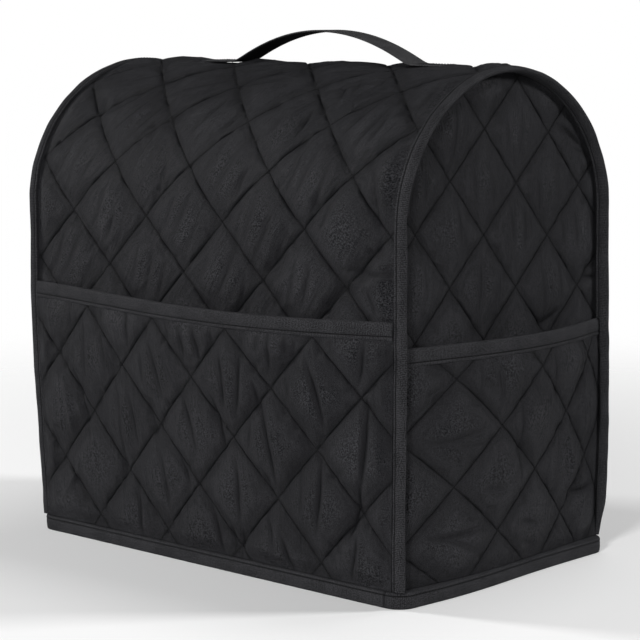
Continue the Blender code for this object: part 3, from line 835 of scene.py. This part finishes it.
def wrapHeight(x, length, k, m):
    lattice = lattices["wrap"]
    y, z = outline(length, 0.0)
    pillow = lattice.pillow(k, m)
    rise = body["puff"] * pillow
    free = smooth(0.0, 0.9, pillow)
    overTop = smooth(0.345, 0.40, length) * (1.0 - smooth(0.51, 0.57, length))
    # folds by angle in degrees, length, width and seed
    fan = folds(x, length, 38.0, 0.045, 0.012, 5) * 0.6
    fan = fan + folds(x, length, 62.0, 0.035, 0.010, 8) * 0.5
    level = folds(x, length, 8.0, 0.050, 0.010, 11)
    back = folds(x, length, 80.0, 0.040, 0.014, 14) * 0.7
    behind = smooth(0.50, 0.60, length)
    ripples = wrapFolds["fan"] * fan * (1.0 - overTop) * (1.0 - behind)
    ripples = ripples + wrapFolds["crown"] * level * overTop + wrapFolds["fan"] * back * behind
    rise = rise + ripples * (0.25 + 0.75 * free)
    rise = rise + creases(lattice, x, length, wrapCreases, wrapFolds["creaseWidth"])
    rise = rise + wrapFolds["gathers"] * lattice.gathers(k, m, wrapFolds["gatherSeed"])
    rise = rise + wrapFolds["drift"] * noise(x / 0.07, length / 0.06, 4) * free
    rise = rise * smooth(0.0, wrapFolds["edgeFade"], body["halfWidth"] - np.abs(x))
    rise = rise * smooth(0.0, wrapFolds["edgeFade"], np.minimum(length, girth - length) - body["hemHeight"])
    pocket = pocketSizes["front"]
    room = pocketSizes["pressed"] * (pocketGap(pocket, x, z) - body["seat"])
    rise = np.where(length < pocket["top"] - pocketSizes["mouthMargin"], np.minimum(rise, room), rise)
    strapRoom = np.maximum(0.0, strapUnder(x) - crown - wrapFolds["strapRoom"])
    nearStrap = np.abs(x - handle["middle"]) < handle["end"] + wrapFolds["strapMargin"]
    share = np.where(nearStrap, smooth(*wrapFolds["strapPress"], np.abs(y)), 1.0)
    pressed = share * rise + (1.0 - share) * np.minimum(rise, strapRoom)
    return np.where(z > body["wallHeight"], pressed, rise)


def wrapSurface(x, length, lift):
    y, z = outline(length, lift - body["cloth"])
    return np.stack(np.broadcast_arrays(x, y, z), -1)


def wrapInner(x, length, k, m):
    return -body["hollow"] * lattices["wrap"].pillow(k, m) * smooth(0.0, 0.02, body["halfWidth"] - np.abs(x))


def makeWrap():
    print("long panel")
    lattice = lattices["wrap"]
    start = body["hemHeight"] + body["seat"]
    half = body["halfWidth"]
    columns = gridLines(lattice.column(-half), lattice.column(half), fine["longPanelCells"])
    rows = gridLines(lattice.row(0.0, start), lattice.row(0.0, girth - start), fine["longPanelCells"])
    piece = quiltedSheet("long_panel", lattice, columns, rows, wrapSurface, wrapHeight, wrapInner,
                         {**wrapFolds, "rows": wrapCreases})
    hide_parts("wrap_panel")
    thread = quiltStitches("long_panel_stitches", lattice, (-half + 0.003, start + 0.002),
                           (half - 0.003, girth - start - 0.002), wrapSurface, wrapHeight,
                           lambda x, s: np.ones(x.shape, bool), threadMaterial)


makeWrap()


# Side panels, cut to the arch
sideFolds = {
    "pull": 88.0,
    "fullShadeDepth": 0.0026,
    "upright": 0.0009,
    "gathers": 0.0011,
    "drift": 0.0007,
    "seamGap": 0.0005,       # between this panel and the long one
    "seamFade": 0.013,
    "hemFade": 0.014,
    "overcut": 0.010,
    "area": 0.0845,
    "creaseWidth": 0.0036,
    "byHand": [
        # upper row, then down the panel
        (-1.0, 0.4, 85, 25, -1.1), (-0.8, 0.5, 80, 12, -0.6), (-0.2, 0.4, 95, 20, -0.6),
        (0.0, 0.4, 85, 22, -0.7), (-1.4, -0.1, 95, 12, -0.9), (-1.6, -0.2, 80, 18, -1.0),
        (-1.3, -0.3, 35, 15, -1.5), (-0.7, 0.0, 100, 22, -0.8), (-0.4, -0.1, 100, 18, -0.8),
        (-0.3, 0.0, 95, 18, -0.6), (0.3, -0.1, 100, 25, -0.8), (0.6, 0.0, 95, 18, -0.6),
        (-0.9, -0.4, 100, 20, -0.9), (-0.8, -0.6, 105, 17, -0.8), (-0.1, -0.4, 95, 15, -1.0),
        (0.1, -0.4, 90, 17, -1.0), (0.2, -0.4, 85, 10, -0.6), (0.7, -0.4, 95, 17, -0.9),
        (0.9, -0.4, 95, 17, -0.7), (-0.6, -1.0, 85, 25, -0.8), (-0.3, -1.0, 85, 25, -0.7),
        # drawn in by the seam at the back, and by the pocket's mouth
        (0.8, 0.5, 150, 16, -1.8), (0.9, 0.4, 150, 25, -1.6), (1.0, 0.3, 160, 16, -1.0),
        (1.2, -0.4, 95, 16, -1.2), (1.2, -0.8, 5, 10, -1.4), (1.2, -0.9, 0, 10, -2.0),
        (0.5, -1.3, 20, 15, -2.0)],
}


def archRoom(y, z):
    half, rise = body["halfDepth"] - body["cloth"], body["archHeight"] - body["cloth"]
    inside = np.abs(y / half) ** body["archPower"]
    inside = inside + (np.maximum(0.0, z - body["wallHeight"]) / rise) ** body["archPower"]
    return (1.0 - inside ** (1.0 / body["archPower"])) * rise


def makeSide(name, node, side, pocketed):
    print(name)
    lattice = lattices["side"]
    seed = 40 if side > 0 else 60
    if pocketed:
        drawn = drawnCreases(lattice, (-0.115, 0.190), (0.115, 0.245), 90.0, 2, 440, 0.6)
        creaseRows = sideFolds["byHand"] + drawn
    else:
        creaseRows = drawnCreases(lattice, (-0.115, 0.020), (0.115, 0.375), 90.0, 3, 450, 0.9)
    start = body["hemHeight"] + body["seat"]
    half = body["halfDepth"] - body["cloth"] - sideFolds["seamGap"]
    top = crown - body["cloth"] - sideFolds["seamGap"]

    def surface(y, z, lift):
        return np.stack([side * (body["halfWidth"] - body["cloth"] + lift + flare(y, z)), y, z], -1)

    def height(y, z, k, m):
        pillow = lattice.pillow(k, m)
        free = smooth(0.0, 0.9, pillow)
        rise = body["puff"] * pillow
        upright = folds(y, z, 84.0, 0.045, 0.013, seed) * 0.7
        upright = upright + folds(y, z, 97.0, 0.060, 0.010, seed + 1) * 0.5
        rise = rise + sideFolds["upright"] * upright * (0.25 + 0.75 * free)
        rise = rise + creases(lattice, y, z, creaseRows, sideFolds["creaseWidth"])
        rise = rise + sideFolds["gathers"] * lattice.gathers(k, m, seed + 2)
        rise = rise + sideFolds["drift"] * noise(y / 0.06, z / 0.07, seed + 4) * free
        rise = rise * smooth(0.0, sideFolds["seamFade"], archRoom(y, z))
        rise = rise * smooth(0.0, sideFolds["hemFade"], z - start)
        if pocketed:
            pocket = pocketSizes["side"]
            room = pocketSizes["pressed"] * (pocketGap(pocket, y, z) - body["seat"])
            rise = np.where(z < pocket["top"] - pocketSizes["mouthMargin"], np.minimum(rise, room), rise)
        return rise

    def inner(y, z, k, m):
        fade = smooth(0.0, 0.02, archRoom(y, z)) * smooth(0.0, 0.02, z - start)
        return -body["hollow"] * lattice.pillow(k, m) * fade

    def keep(y, z):
        arch = np.abs(y / half) ** body["archPower"]
        share = np.maximum(0.0, z - body["wallHeight"]) / (top - body["wallHeight"])
        arch = arch + share ** body["archPower"]
        return np.minimum((1.0 - arch ** (1.0 / body["archPower"])) * half, z - start)

    margin = sideFolds["overcut"]
    columns = gridLines(lattice.column(-half - margin), lattice.column(half + margin), fine["sidePanelCells"])
    rows = gridLines(lattice.row(lattice.along, -margin), lattice.row(lattice.along, crown + margin),
                     fine["sidePanelCells"])
    piece = cutSheet(name, lattice, columns, rows, surface, height, inner, keep,
                     {**sideFolds, "rows": creaseRows, "gatherSeed": seed + 2}, side < 0)
    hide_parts(node)
    thread = quiltStitches(name + "_stitches", lattice, (-half, start), (half, top), surface, height,
                           lambda y, z: keep(y, z) > 0.003, threadMaterial)


makeSide("right_side", "side_panel_right", 1, True)
makeSide("left_side", "side_panel_left", -1, False)


# Pockets stand off the panel behind them; a tape binds each mouth
def frontSurface(x, z, lift):
    pocket = pocketSizes["front"]
    y = -body["halfDepth"] - pocketGap(pocket, x, z) - lift
    return np.stack(np.broadcast_arrays(x, y, z - pocketSag(pocket, x, z)), -1)


def sideSurface(y, z, lift):
    pocket = pocketSizes["side"]
    x = body["halfWidth"] + flare(y, z) + pocketGap(pocket, y, z) + lift
    return np.stack(np.broadcast_arrays(x, y, z - pocketSag(pocket, y, z)), -1)


frontPocketLook = {
    "seed": 80,
    "pull": 97.0,
    "fullShadeDepth": 0.0025,
    "angle": 97.0,
    "second": 84.0,
    "folds": 0.0009,
    "gathers": 0.0014,
    "mouthGathers": 0.0009,
    "pucker": 0.0075,
    "creaseWidth": 0.0031,
    "byHand": [
        # short ones that hang from the tape
        (-1.8, 0.4, 95, 12, -0.9), (-1.3, 0.5, 105, 10, -0.9), (-0.9, 0.4, 95, 17, -1.2),
        (-0.6, 0.4, 100, 8, -0.8), (-0.3, 0.4, 105, 10, -0.9), (-0.1, 0.3, 95, 12, -1.2),
        (0.1, 0.3, 100, 14, -1.5), (0.3, 0.4, 90, 7, -0.8), (0.7, 0.4, 90, 6, -1.0),
        (0.9, 0.4, 90, 6, -0.8), (1.0, 0.3, 85, 16, -1.3), (1.2, 0.4, 90, 8, -1.3),
        (1.3, 0.4, 85, 6, -0.9), (1.7, 0.4, 95, 6, -0.8), (2.0, 0.3, 80, 17, -1.5),
        # first full row of diamonds
        (-1.6, 0.1, 90, 28, -1.0), (-1.3, 0.1, 100, 20, -0.8), (-1.2, 0.0, 110, 11, -0.8),
        (-0.7, 0.0, 90, 13, -0.8), (-0.5, 0.0, 105, 22, -1.4), (-0.3, 0.0, 110, 10, -0.6),
        (0.4, 0.0, 90, 22, -1.6), (0.6, 0.0, 80, 25, -1.6), (0.8, -0.1, 90, 12, -1.3),
        (1.2, 0.0, 85, 12, -1.0), (1.5, 0.0, 105, 28, -1.8),
        # halfway down
        (-1.9, -0.5, 100, 25, 1.0), (-1.7, -0.4, 110, 30, -1.4), (-1.1, -0.4, 95, 20, -0.8),
        (-0.9, -0.5, 100, 22, -1.3), (-0.6, -0.5, 110, 16, -1.0), (-0.1, -0.4, 110, 24, -1.5),
        (0.3, -0.4, 105, 26, -1.8), (0.9, -0.5, 100, 36, -2.0), (0.7, -0.4, 85, 17, -1.0),
        (2.0, -0.4, 85, 38, -1.8), (2.3, -0.5, 90, 48, -1.6),
        # second full row
        (-1.9, -1.2, 55, 20, 0.9), (-1.1, -0.9, 90, 25, -1.0), (-0.5, -1.0, 100, 26, -1.1),
        (-0.2, -0.9, 115, 16, -1.3), (0.5, -1.0, 90, 26, -1.3), (0.9, -0.9, 115, 16, -1.2),
        (1.3, -0.9, 90, 17, -0.7), (1.5, -0.9, 85, 28, -1.8), (1.9, -1.0, 75, 22, -2.6),
        # lowest row
        (-1.8, -1.5, 165, 25, 0.9), (-1.4, -1.3, 110, 14, 0.8), (-0.9, -1.4, 90, 22, -1.3),
        (0.2, -1.4, 105, 22, -1.6), (0.4, -1.4, 105, 13, -1.2), (0.5, -1.5, 80, 16, -1.6),
        (0.9, -1.3, 105, 14, -1.4), (1.1, -1.5, 110, 17, -1.6), (1.9, -1.4, 80, 16, -1.8)],
}
sidePocketLook = {
    "seed": 120,
    "pull": 80.0,
    "fullShadeDepth": 0.0032,
    "angle": 86.0,
    "second": 8.0,
    "folds": 0.0009,
    "gathers": 0.0012,
    "mouthGathers": 0.0004,
    "pucker": 0.010,
    "creaseWidth": 0.0034,
    "byHand": [
        # nearly level ones in the two front diamonds
        (0.0, -0.5, 5, 30, -1.3), (0.2, -0.6, 0, 25, -0.7), (0.0, -0.3, 5, 20, 0.7),
        (0.0, -1.4, 0, 30, -1.3), (0.4, -1.1, 175, 12, -0.9), (0.1, -1.6, 155, 22, -0.5),
        (-0.4, -0.8, 0, 14, 0.8), (-0.5, -0.9, 170, 10, -1.0),
        # upright ones beside the front edge and towards the back
        (-0.5, 0.0, 90, 25, -1.2), (-0.5, -1.7, 100, 13, -1.6), (0.2, 0.0, 90, 18, -0.6),
        (0.4, -0.1, 105, 17, -0.8), (0.7, -0.5, 95, 33, -1.3), (0.9, -0.2, 115, 12, -0.9),
        (1.1, -0.3, 85, 18, 1.0), (1.2, -0.1, 100, 25, -1.1), (0.7, -0.8, 105, 24, -1.0),
        (1.3, -0.8, 90, 35, -0.5), (1.6, 0.0, 80, 13, 0.9),
        # the ridge and the hook near the back, wrinkles in the lowest diamonds
        (1.5, -0.8, 115, 20, 1.6), (1.6, -1.1, 75, 20, 1.6), (1.8, -0.4, 95, 40, 1.1),
        (1.9, -1.3, 0, 18, -2.4), (0.9, -1.5, 165, 10, -1.1), (0.9, -1.7, 160, 10, -0.9),
        (1.2, -1.8, 130, 17, -0.6)],
}


def makePocket(name, node, pocket, lattice, surface, look, turned):
    print(name)
    half = pocket["half"]
    start = body["hemHeight"] + body["seat"]
    stop = pocket["top"] - pocketSizes["tapeHeight"] - body["seat"]

    def height(a, z, k, m):
        pillow = lattice.pillow(k, m)
        free = smooth(0.0, 0.9, pillow)
        rise = body["puff"] * pillow
        seed = look["seed"]
        ripples = folds(a, z, look["angle"], 0.045, 0.012, seed) * 0.8
        ripples = ripples + folds(a, z, look["second"], 0.040, 0.011, seed + 1) * 0.45
        rise = rise + look["folds"] * ripples * (0.25 + 0.75 * free)
        rise = rise + creases(lattice, a, z, look["byHand"], look["creaseWidth"])
        rise = rise + look["gathers"] * lattice.gathers(k, m, seed + 2)
        rise = rise + pocketSizes["drift"] * noise(a / 0.06, z / 0.07, seed + 4) * free
        fade = pocketSizes["edgeFade"]
        rise = rise * smooth(0.0, fade, half - np.abs(a)) * smooth(0.0, fade, z - start)
        rise = rise * smooth(*pocketSizes["mouthFade"], stop - z)
        # gathers that hang from the tape
        pace = a / look["pucker"] + 0.7 * noise(a / 0.03, z * 0.0, seed + 6)
        hang = noise(pace, z / 0.05, seed + 7) * smooth(0.0, 0.004, stop - z)
        hang = hang * np.exp(-(stop - z) / pocketSizes["hang"])
        return rise + look["mouthGathers"] * hang * smooth(0.0, 0.010, half - np.abs(a))

    def inner(a, z, k, m):
        room = smooth(0.002, 0.008, pocketGap(pocket, a, z))
        return -pocketSizes["hollow"] * lattice.pillow(k, m) * room * smooth(0.0, 0.014, stop - z)

    columns = gridLines(lattice.column(-half), lattice.column(half), fine["pocketCells"])
    rows = gridLines(lattice.row(lattice.along, start), lattice.row(lattice.along, stop), fine["pocketCells"])
    piece = quiltedSheet(name, lattice, columns, rows, surface, height, inner,
                         {**look, "rows": look["byHand"], "gatherSeed": look["seed"] + 2}, turned)
    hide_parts(node)
    thread = quiltStitches(name + "_stitches", lattice, (-half + 0.002, start + 0.001), (half - 0.002, stop),
                           surface, height, lambda a, z: np.ones(a.shape, bool), threadMaterial)

    # the tape: a folded strip over the edge, sewn near its lower edge
    low, high, thick = stop + body["seat"], pocket["top"], pocketSizes["tapeThickness"]
    sewn = low + 0.0022
    # height and lift, round the fold from its lower edge at the back
    section = [(low, 0.0), (low, 0.0024), (low - 0.0009, 0.00255), (low - 0.0008, 0.0030),
               (low + 0.0002, thick), (sewn - 0.0006, thick), (sewn, thick - 0.00035),
               (sewn + 0.0006, thick), (low + 0.006, thick + 0.0002), (high - 0.0025, thick),
               (high - 0.0008, thick - 0.0005), (high, thick * 0.6), (high, thick * 0.35),
               (high - 0.0008, 0.0004), (high - 0.0025, 0.0)]
    places = np.linspace(-half, half, int(2.0 * half / pocketSizes["tapeStep"]))
    wave = 0.00025 * noise(places / 0.009, places * 0.0, look["seed"] + 9)
    rings, flat = [], []
    across = np.concatenate([[0.0], np.cumsum([math.dist(p, q) for p, q in zip(section, section[1:])])])
    for index, (z, lift) in enumerate(section):
        outer = smooth(0.0024, 0.0030, np.array(lift))
        rings.append(surface(places, np.full(places.shape, z), lift + wave * outer))
        # painted shade in the channel of the tape's sewn line
        grooveShade = 0.8 if index == 6 else 0.0
        flat.append(np.stack([places] + [np.full(places.shape, value) for value in (across[index], grooveShade)], -1))
    rings, flat = np.stack(rings, 1), np.stack(flat, 1)
    if turned:
        rings, flat = rings[:, ::-1], flat[:, ::-1]
    tape = bar(name + "_tape", rings, tapeMaterial, flat)
    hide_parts(node + "_binding")
    route = surface(places, np.full(places.shape, sewn), thick - 0.0002)
    above = surface(places, np.full(places.shape, sewn), thick + 0.0010)
    route, above = settle(route), settle(above)
    seam = routeStitches(name + "_tape_stitches", route, above - route, threadMaterial)


makePocket("front_pocket_cloth", "front_pocket", pocketSizes["front"], lattices["frontPocket"],
           frontSurface, frontPocketLook, False)
makePocket("side_pocket_cloth", "side_pocket", pocketSizes["side"], lattices["sidePocket"],
           sideSurface, sidePocketLook, False)


# The bound seams that stand out along both sides of the arch
edgeTape = {
    "flange": 0.010,
    "halfThickness": 0.0026,
    "underside": 0.0002,     # thinner by this on its inner side
    "step": 0.0022,
    "sewnFrom": 0.0022,
    "tuck": 0.0075,          # its lower end at the back is drawn in above the hem
    "tuckHeight": 0.045,
    "uneven": 0.10,
}


def makeEdgeTape(name, node, side):
    print(name)
    start = body["hemHeight"] + body["seat"]
    inner = body["halfWidth"] + body["seat"]
    outer = body["halfWidth"] + edgeTape["flange"]
    half = edgeTape["halfThickness"]
    sewn = inner + edgeTape["sewnFrom"]
    near = edgeTape["underside"] - half
    section = [(inner, half - 0.0003), (inner + 0.0006, half), (sewn - 0.0006, half), (sewn, half - 0.0004),
               (sewn + 0.0006, half), (outer - 0.0035, half * 0.98), (outer - 0.0015, half * 0.80),
               (outer - 0.0004, half * 0.42), (outer, 0.0), (outer - 0.0004, near * 0.42),
               (outer - 0.0015, near * 0.80), (outer - 0.0035, near * 0.98), (sewn + 0.0006, near),
               (sewn, near + 0.0004), (sewn - 0.0006, near), (inner, near)]
    lengths = np.linspace(start, girth - start, int(girth / edgeTape["step"]))
    seed = 200 if side > 0 else 220
    level = lengths * 0.0
    wander = 0.0006 * noise(lengths / 0.035, level, seed) + 0.0003 * noise(lengths / 0.011, level, seed + 1)
    thickness = 1.0 + edgeTape["uneven"] * noise(lengths / 0.012, level, seed + 2)
    tuck = edgeTape["tuck"] * smooth(girth - edgeTape["tuckHeight"], girth, lengths)
    rings, flat, across = [], [], 0.0
    for index, (reach, offset) in enumerate(section):
        if index:
            across += math.dist(section[index - 1], section[index])
        share = smooth(inner, outer, np.array(reach))
        y, z = outline(lengths, offset * thickness)
        rings.append(np.stack([side * (reach - tuck * share + wander * share), y, z], -1))
        # painted shade in the channels of both sewn lines
        grooveShade = 0.8 if index in (3, 13) else 0.0
        flat.append(np.stack([lengths, np.full(lengths.shape, across), np.full(lengths.shape, grooveShade)], -1))
    rings, flat = np.stack(rings, 1), np.stack(flat, 1)
    if side > 0:
        rings, flat = rings[:, ::-1], flat[:, ::-1]
    piece = bar(name, rings, tapeMaterial, flat)
    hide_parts(node)
    for word, offset in (("outer", half), ("inner", near)):
        sign = math.copysign(1.0, offset)
        y, z = outline(lengths, offset - sign * 0.0002)
        route = settle(np.stack([np.full(lengths.shape, side * sewn), y, z], -1))
        y, z = outline(lengths, offset + sign * 0.001)
        above = settle(np.stack([np.full(lengths.shape, side * sewn), y, z], -1))
        seam = routeStitches(name + "_" + word + "_stitches", route, above - route, threadMaterial)


makeEdgeTape("right_edge_tape", "edge_binding_right", 1)
makeEdgeTape("left_edge_tape", "edge_binding_left", -1)


# Hem tape: one loop with rounded corners
hemTape = {
    "front": 0.0050,         # outer face beyond the body
    "back": 0.0020,
    "side": 0.0110,
    "lap": 0.0036,           # inner face inside the body
    "corner": 0.014,
    "innerCorner": 0.006,
    "sewnBelowTop": 0.0024,
    "step": 0.0024,
    "wave": 0.00025,
}


def hemLoop(left, right, front, back, radius, flared, count):
    points = []
    corners = ((right, front, -1, 1), (right, back, 1, 1), (left, back, 1, -1), (left, front, -1, -1))
    for n, (x, y, ySign, xSign) in enumerate(corners):
        turn = np.radians(-90.0 + 90.0 * n + np.linspace(0.0, 90.0, 10))
        middleX, middleY = x - xSign * radius, y - ySign * radius
        arc = np.stack([middleX + radius * np.cos(turn), middleY + radius * np.sin(turn)], -1)
        following = corners[(n + 1) % 4]
        after = np.array([following[0] - following[3] * radius, following[1] - following[2] * radius])
        steps = count[n % 2]
        share = (np.arange(1, steps) / steps)[:, None]
        if n % 2 == 0:
            after[0] = arc[-1][0]
        else:
            after[1] = arc[-1][1]
        run = arc[-1] + share * (after - arc[-1])
        if n % 2 == 0:
            run[:, 0] += xSign * flared * flare(run[:, 1], body["hemHeight"])
        points += [arc, run]
    return np.concatenate(points)


def makeHemTape():
    print("hem tape")
    half, depth = body["halfWidth"], body["halfDepth"]
    count = (int(0.21 / hemTape["step"]), int(0.36 / hemTape["step"]))
    outer = hemLoop(-half - hemTape["side"], half + hemTape["side"], -depth - hemTape["front"],
                    depth + hemTape["back"], hemTape["corner"], 0.0, count)
    lap = hemTape["lap"]
    inner = hemLoop(lap - half, half - lap, lap - depth, depth - lap, hemTape["innerCorner"], 1.0, count)
    ahead = np.roll(outer, -1, 0) - np.roll(outer, 1, 0)
    ahead /= np.linalg.norm(ahead, axis=1, keepdims=True)
    out = np.stack([ahead[:, 1], -ahead[:, 0]], -1)
    run = np.concatenate([[0.0], np.cumsum(np.linalg.norm(np.diff(outer, axis=0), axis=1))])
    top = body["hemHeight"]
    sewn = top - hemTape["sewnBelowTop"]
    wave = hemTape["wave"] * noise(run / 0.010, run * 0.0, 300)
    section = [(0.0, -0.0012), (0.0003, -0.0004), (0.0015, 0.0), (0.005, 0.0002), (sewn - 0.0007, 0.0),
               (sewn, -0.0004), (sewn + 0.0007, 0.0), (top - 0.0010, -0.0002), (top - 0.0003, -0.0008)]
    rings, flat, across = [], [], 0.0
    for index, (z, shift) in enumerate(section):
        if index:
            across += math.dist(section[index - 1], section[index])
        sway = wave * smooth(0.0005, 0.002, np.array(z))
        place = outer + out * (shift + sway)[:, None]
        rings.append(np.column_stack([place, np.full(len(run), z)]))
        # painted shade in the channel of the sewn line
        grooveShade = 0.8 if index == 5 else 0.0
        flat.append(np.stack([run, np.full(run.shape, across), np.full(run.shape, grooveShade)], -1))
    for z in (top, 0.0):
        across += 0.006
        rings.append(np.column_stack([inner, np.full(len(run), z)]))
        flat.append(np.stack([run, np.full(run.shape, across), np.zeros(run.shape)], -1))
    rings, flat = np.stack(rings, 1)[:, ::-1], np.stack(flat, 1)[:, ::-1]
    piece = bar("hem_tape", rings, tapeMaterial, flat, closed=True)
    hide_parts("hem_binding")
    route = np.column_stack([outer - out * 0.0002, np.full(len(run), sewn)])
    above = np.column_stack([outer + out * 0.0010, np.full(len(run), sewn)])
    route, above = (settle(np.concatenate([item, item[:1]])) for item in (route, above))
    seam = routeStitches("hem_tape_stitches", route, above - route, threadMaterial)


makeHemTape()


# Webbing handle with its slanting ribs, sewn flat to the top at both ends
def makeHandle():
    print("handle")
    half, thick = handle["width"] / 2.0, handle["thickness"]
    run = np.linspace(handle["middle"] - handle["end"], handle["middle"] + handle["end"], 420)
    slope = (strapUnder(run + 0.0005) - strapUnder(run - 0.0005)) / 0.001
    turn = np.arctan(slope)
    length = np.concatenate([[0.0], np.cumsum(np.hypot(np.diff(run), np.diff(strapUnder(run))))])
    widths = np.linspace(-half, half, 43)

    def ribs(along, across):
        # twill that changes its slant at the middle, as herringbone webbing does
        phase = (along + np.abs(across) * 0.9) / handle["ribPitch"]
        return handle["ribHeight"] * (np.abs(np.sin(math.pi * phase)) - 0.6)

    rings, flat = [], []
    for sign in (1.0, -1.0):
        for across in widths[::-1] if sign > 0 else widths:
            share = float(smooth(0.0, handle["edge"], np.array(half - abs(across))))
            lift = thick / 2 + sign * (0.30 + 0.70 * share ** 0.5) * (thick / 2 - 0.0002)
            lift = lift + sign * ribs(length, across) * share * 0.6
            rings.append(np.stack([run - lift * np.sin(turn), np.full(run.shape, across),
                                   strapUnder(run) + lift * np.cos(turn)], -1))
            flat.append(np.stack([length, np.full(run.shape, across), np.zeros(run.shape)], -1))
    piece = bar("webbing_handle", np.stack(rings, 1)[:, ::-1], webbingMaterial, np.stack(flat, 1)[:, ::-1])
    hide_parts("handle_strap")
    # a sewn box at each end
    low, high = handle["boxInset"] - half, half - handle["boxInset"]
    for end in (-1, 1):
        far = handle["middle"] + end * (handle["end"] - handle["boxInset"])
        close = handle["middle"] + end * (handle["end"] - handle["boxLength"])
        # round the box, then across it by both diagonals
        corners = np.array([(far, low), (far, high), (close, high), (close, low),
                            (far, low), (close, high), (close, low), (far, high)])
        shares = np.arange(12)[:, None] / 12.0
        line = [one + (other - one) * shares for one, other in zip(corners, corners[1:])]
        line = np.concatenate(line + [corners[-1:]])
        z = strapUnder(line[:, 0]) + thick - 0.0001
        route = settle(np.column_stack([line, z]))
        above = settle(np.column_stack([line, z + 0.001]))
        seam = routeStitches("handle_box_" + ("left" if end < 0 else "right"), route, above - route,
                             threadMaterial, handle["boxPitch"], handle["boxThread"])


makeHandle()

studio = {
    "azimuth": 42.2375, "elevation": 6.8493, "distance": 1.8847, "lens": 132.62,
    "target": (0.0, 0.0, 0.2051), "shift": (0.0112, -0.0521),
    "worldLight": 0.05,
    "floorRadius": 1.3, "floorSolid": 0.30,
    "lights": {      # place, aim, size in metres, power in watts
        "left": ((-1.9, -0.75, 0.95), (0.0, 0.0, 0.20), (0.40, 0.40), 31.0),
        "front": ((0.85, -1.95, 0.95), (0.0, 0.0, 0.20), (0.40, 0.40), 33.0),
        "right": ((1.5, 1.4, 1.2), (0.0, 0.0, 0.20), (0.40, 0.40), 32.0),
        "top": ((0.1, 0.6, 2.0), (0.0, 0.0, 0.20), (0.7, 0.5), 8.0),
    },
}


def makeLight(name, place, aim, size, power):
    light = bpy.data.lights.new(name, "AREA")
    light.shape = "RECTANGLE"
    light.size, light.size_y = size
    light.energy = power
    lamp = bpy.data.objects.new(name, light)
    bpy.context.scene.collection.objects.link(lamp)
    lamp.location = place
    direction = mathutils.Vector(aim) - mathutils.Vector(place)
    lamp.rotation_euler = direction.to_track_quat("-Z", "Y").to_euler()


def makeStage():
    print("floor, lights and camera")
    bpy.ops.mesh.primitive_circle_add(vertices=96, radius=studio["floorRadius"], fill_type="NGON")
    floor = bpy.context.object
    floor.name = "floor"
    finish = Finish("pale floor")
    place = finish.node("ShaderNodeTexCoord", None, None, "Object")
    away = finish.node("ShaderNodeVectorMath", {"operation": "LENGTH"}, {0: place}, "Value")
    fade = away.ramp(studio["floorSolid"], studio["floorRadius"], 1.0, 0.0)
    floor.data.materials.append(finish.surface(Base_Color=(0.90, 0.90, 0.90, 1.0), Roughness=1.0,
                                               Specular_IOR_Level=0.0, Alpha=fade))
    floor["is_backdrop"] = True

    # plain white behind the cover, much dimmer in what lights it
    world = bpy.data.worlds.new("studio")
    world.use_nodes = True
    background = world.node_tree.nodes["Background"]
    seen = world.node_tree.nodes.new("ShaderNodeLightPath")
    strength = world.node_tree.nodes.new("ShaderNodeMapRange")
    strength.inputs["To Min"].default_value = studio["worldLight"]
    strength.inputs["To Max"].default_value = 1.0
    background.inputs["Color"].default_value = (1.0, 1.0, 1.0, 1.0)
    world.node_tree.links.new(seen.outputs["Is Camera Ray"], strength.inputs["Value"])
    world.node_tree.links.new(strength.outputs["Result"], background.inputs["Strength"])
    bpy.context.scene.world = world
    bpy.context.scene.view_settings.view_transform = "Standard"
    for name, (place, aim, size, power) in studio["lights"].items():
        makeLight(name, place, aim, size, power)

    turn, rise = math.radians(studio["azimuth"]), math.radians(studio["elevation"])
    level = math.cos(rise)
    back = mathutils.Vector((math.sin(turn) * level, -math.cos(turn) * level, math.sin(rise)))
    middleX, middleY = body["middle"]
    target = mathutils.Vector(studio["target"]) - mathutils.Vector((middleX, middleY, 0.0))
    camera = bpy.data.cameras.new("camera")
    camera.lens = studio["lens"]
    camera.shift_x, camera.shift_y = studio["shift"]
    holder = bpy.data.objects.new("camera", camera)
    holder.location = target + back * studio["distance"]
    holder.rotation_euler = (-back).to_track_quat("-Z", "Y").to_euler()
    bpy.context.scene.collection.objects.link(holder)
    bpy.context.scene.camera = holder


makeStage()
boxes = {"cad": cadBox, "model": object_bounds()}
{key: [list(corner) for corner in box] for key, box in boxes.items()}
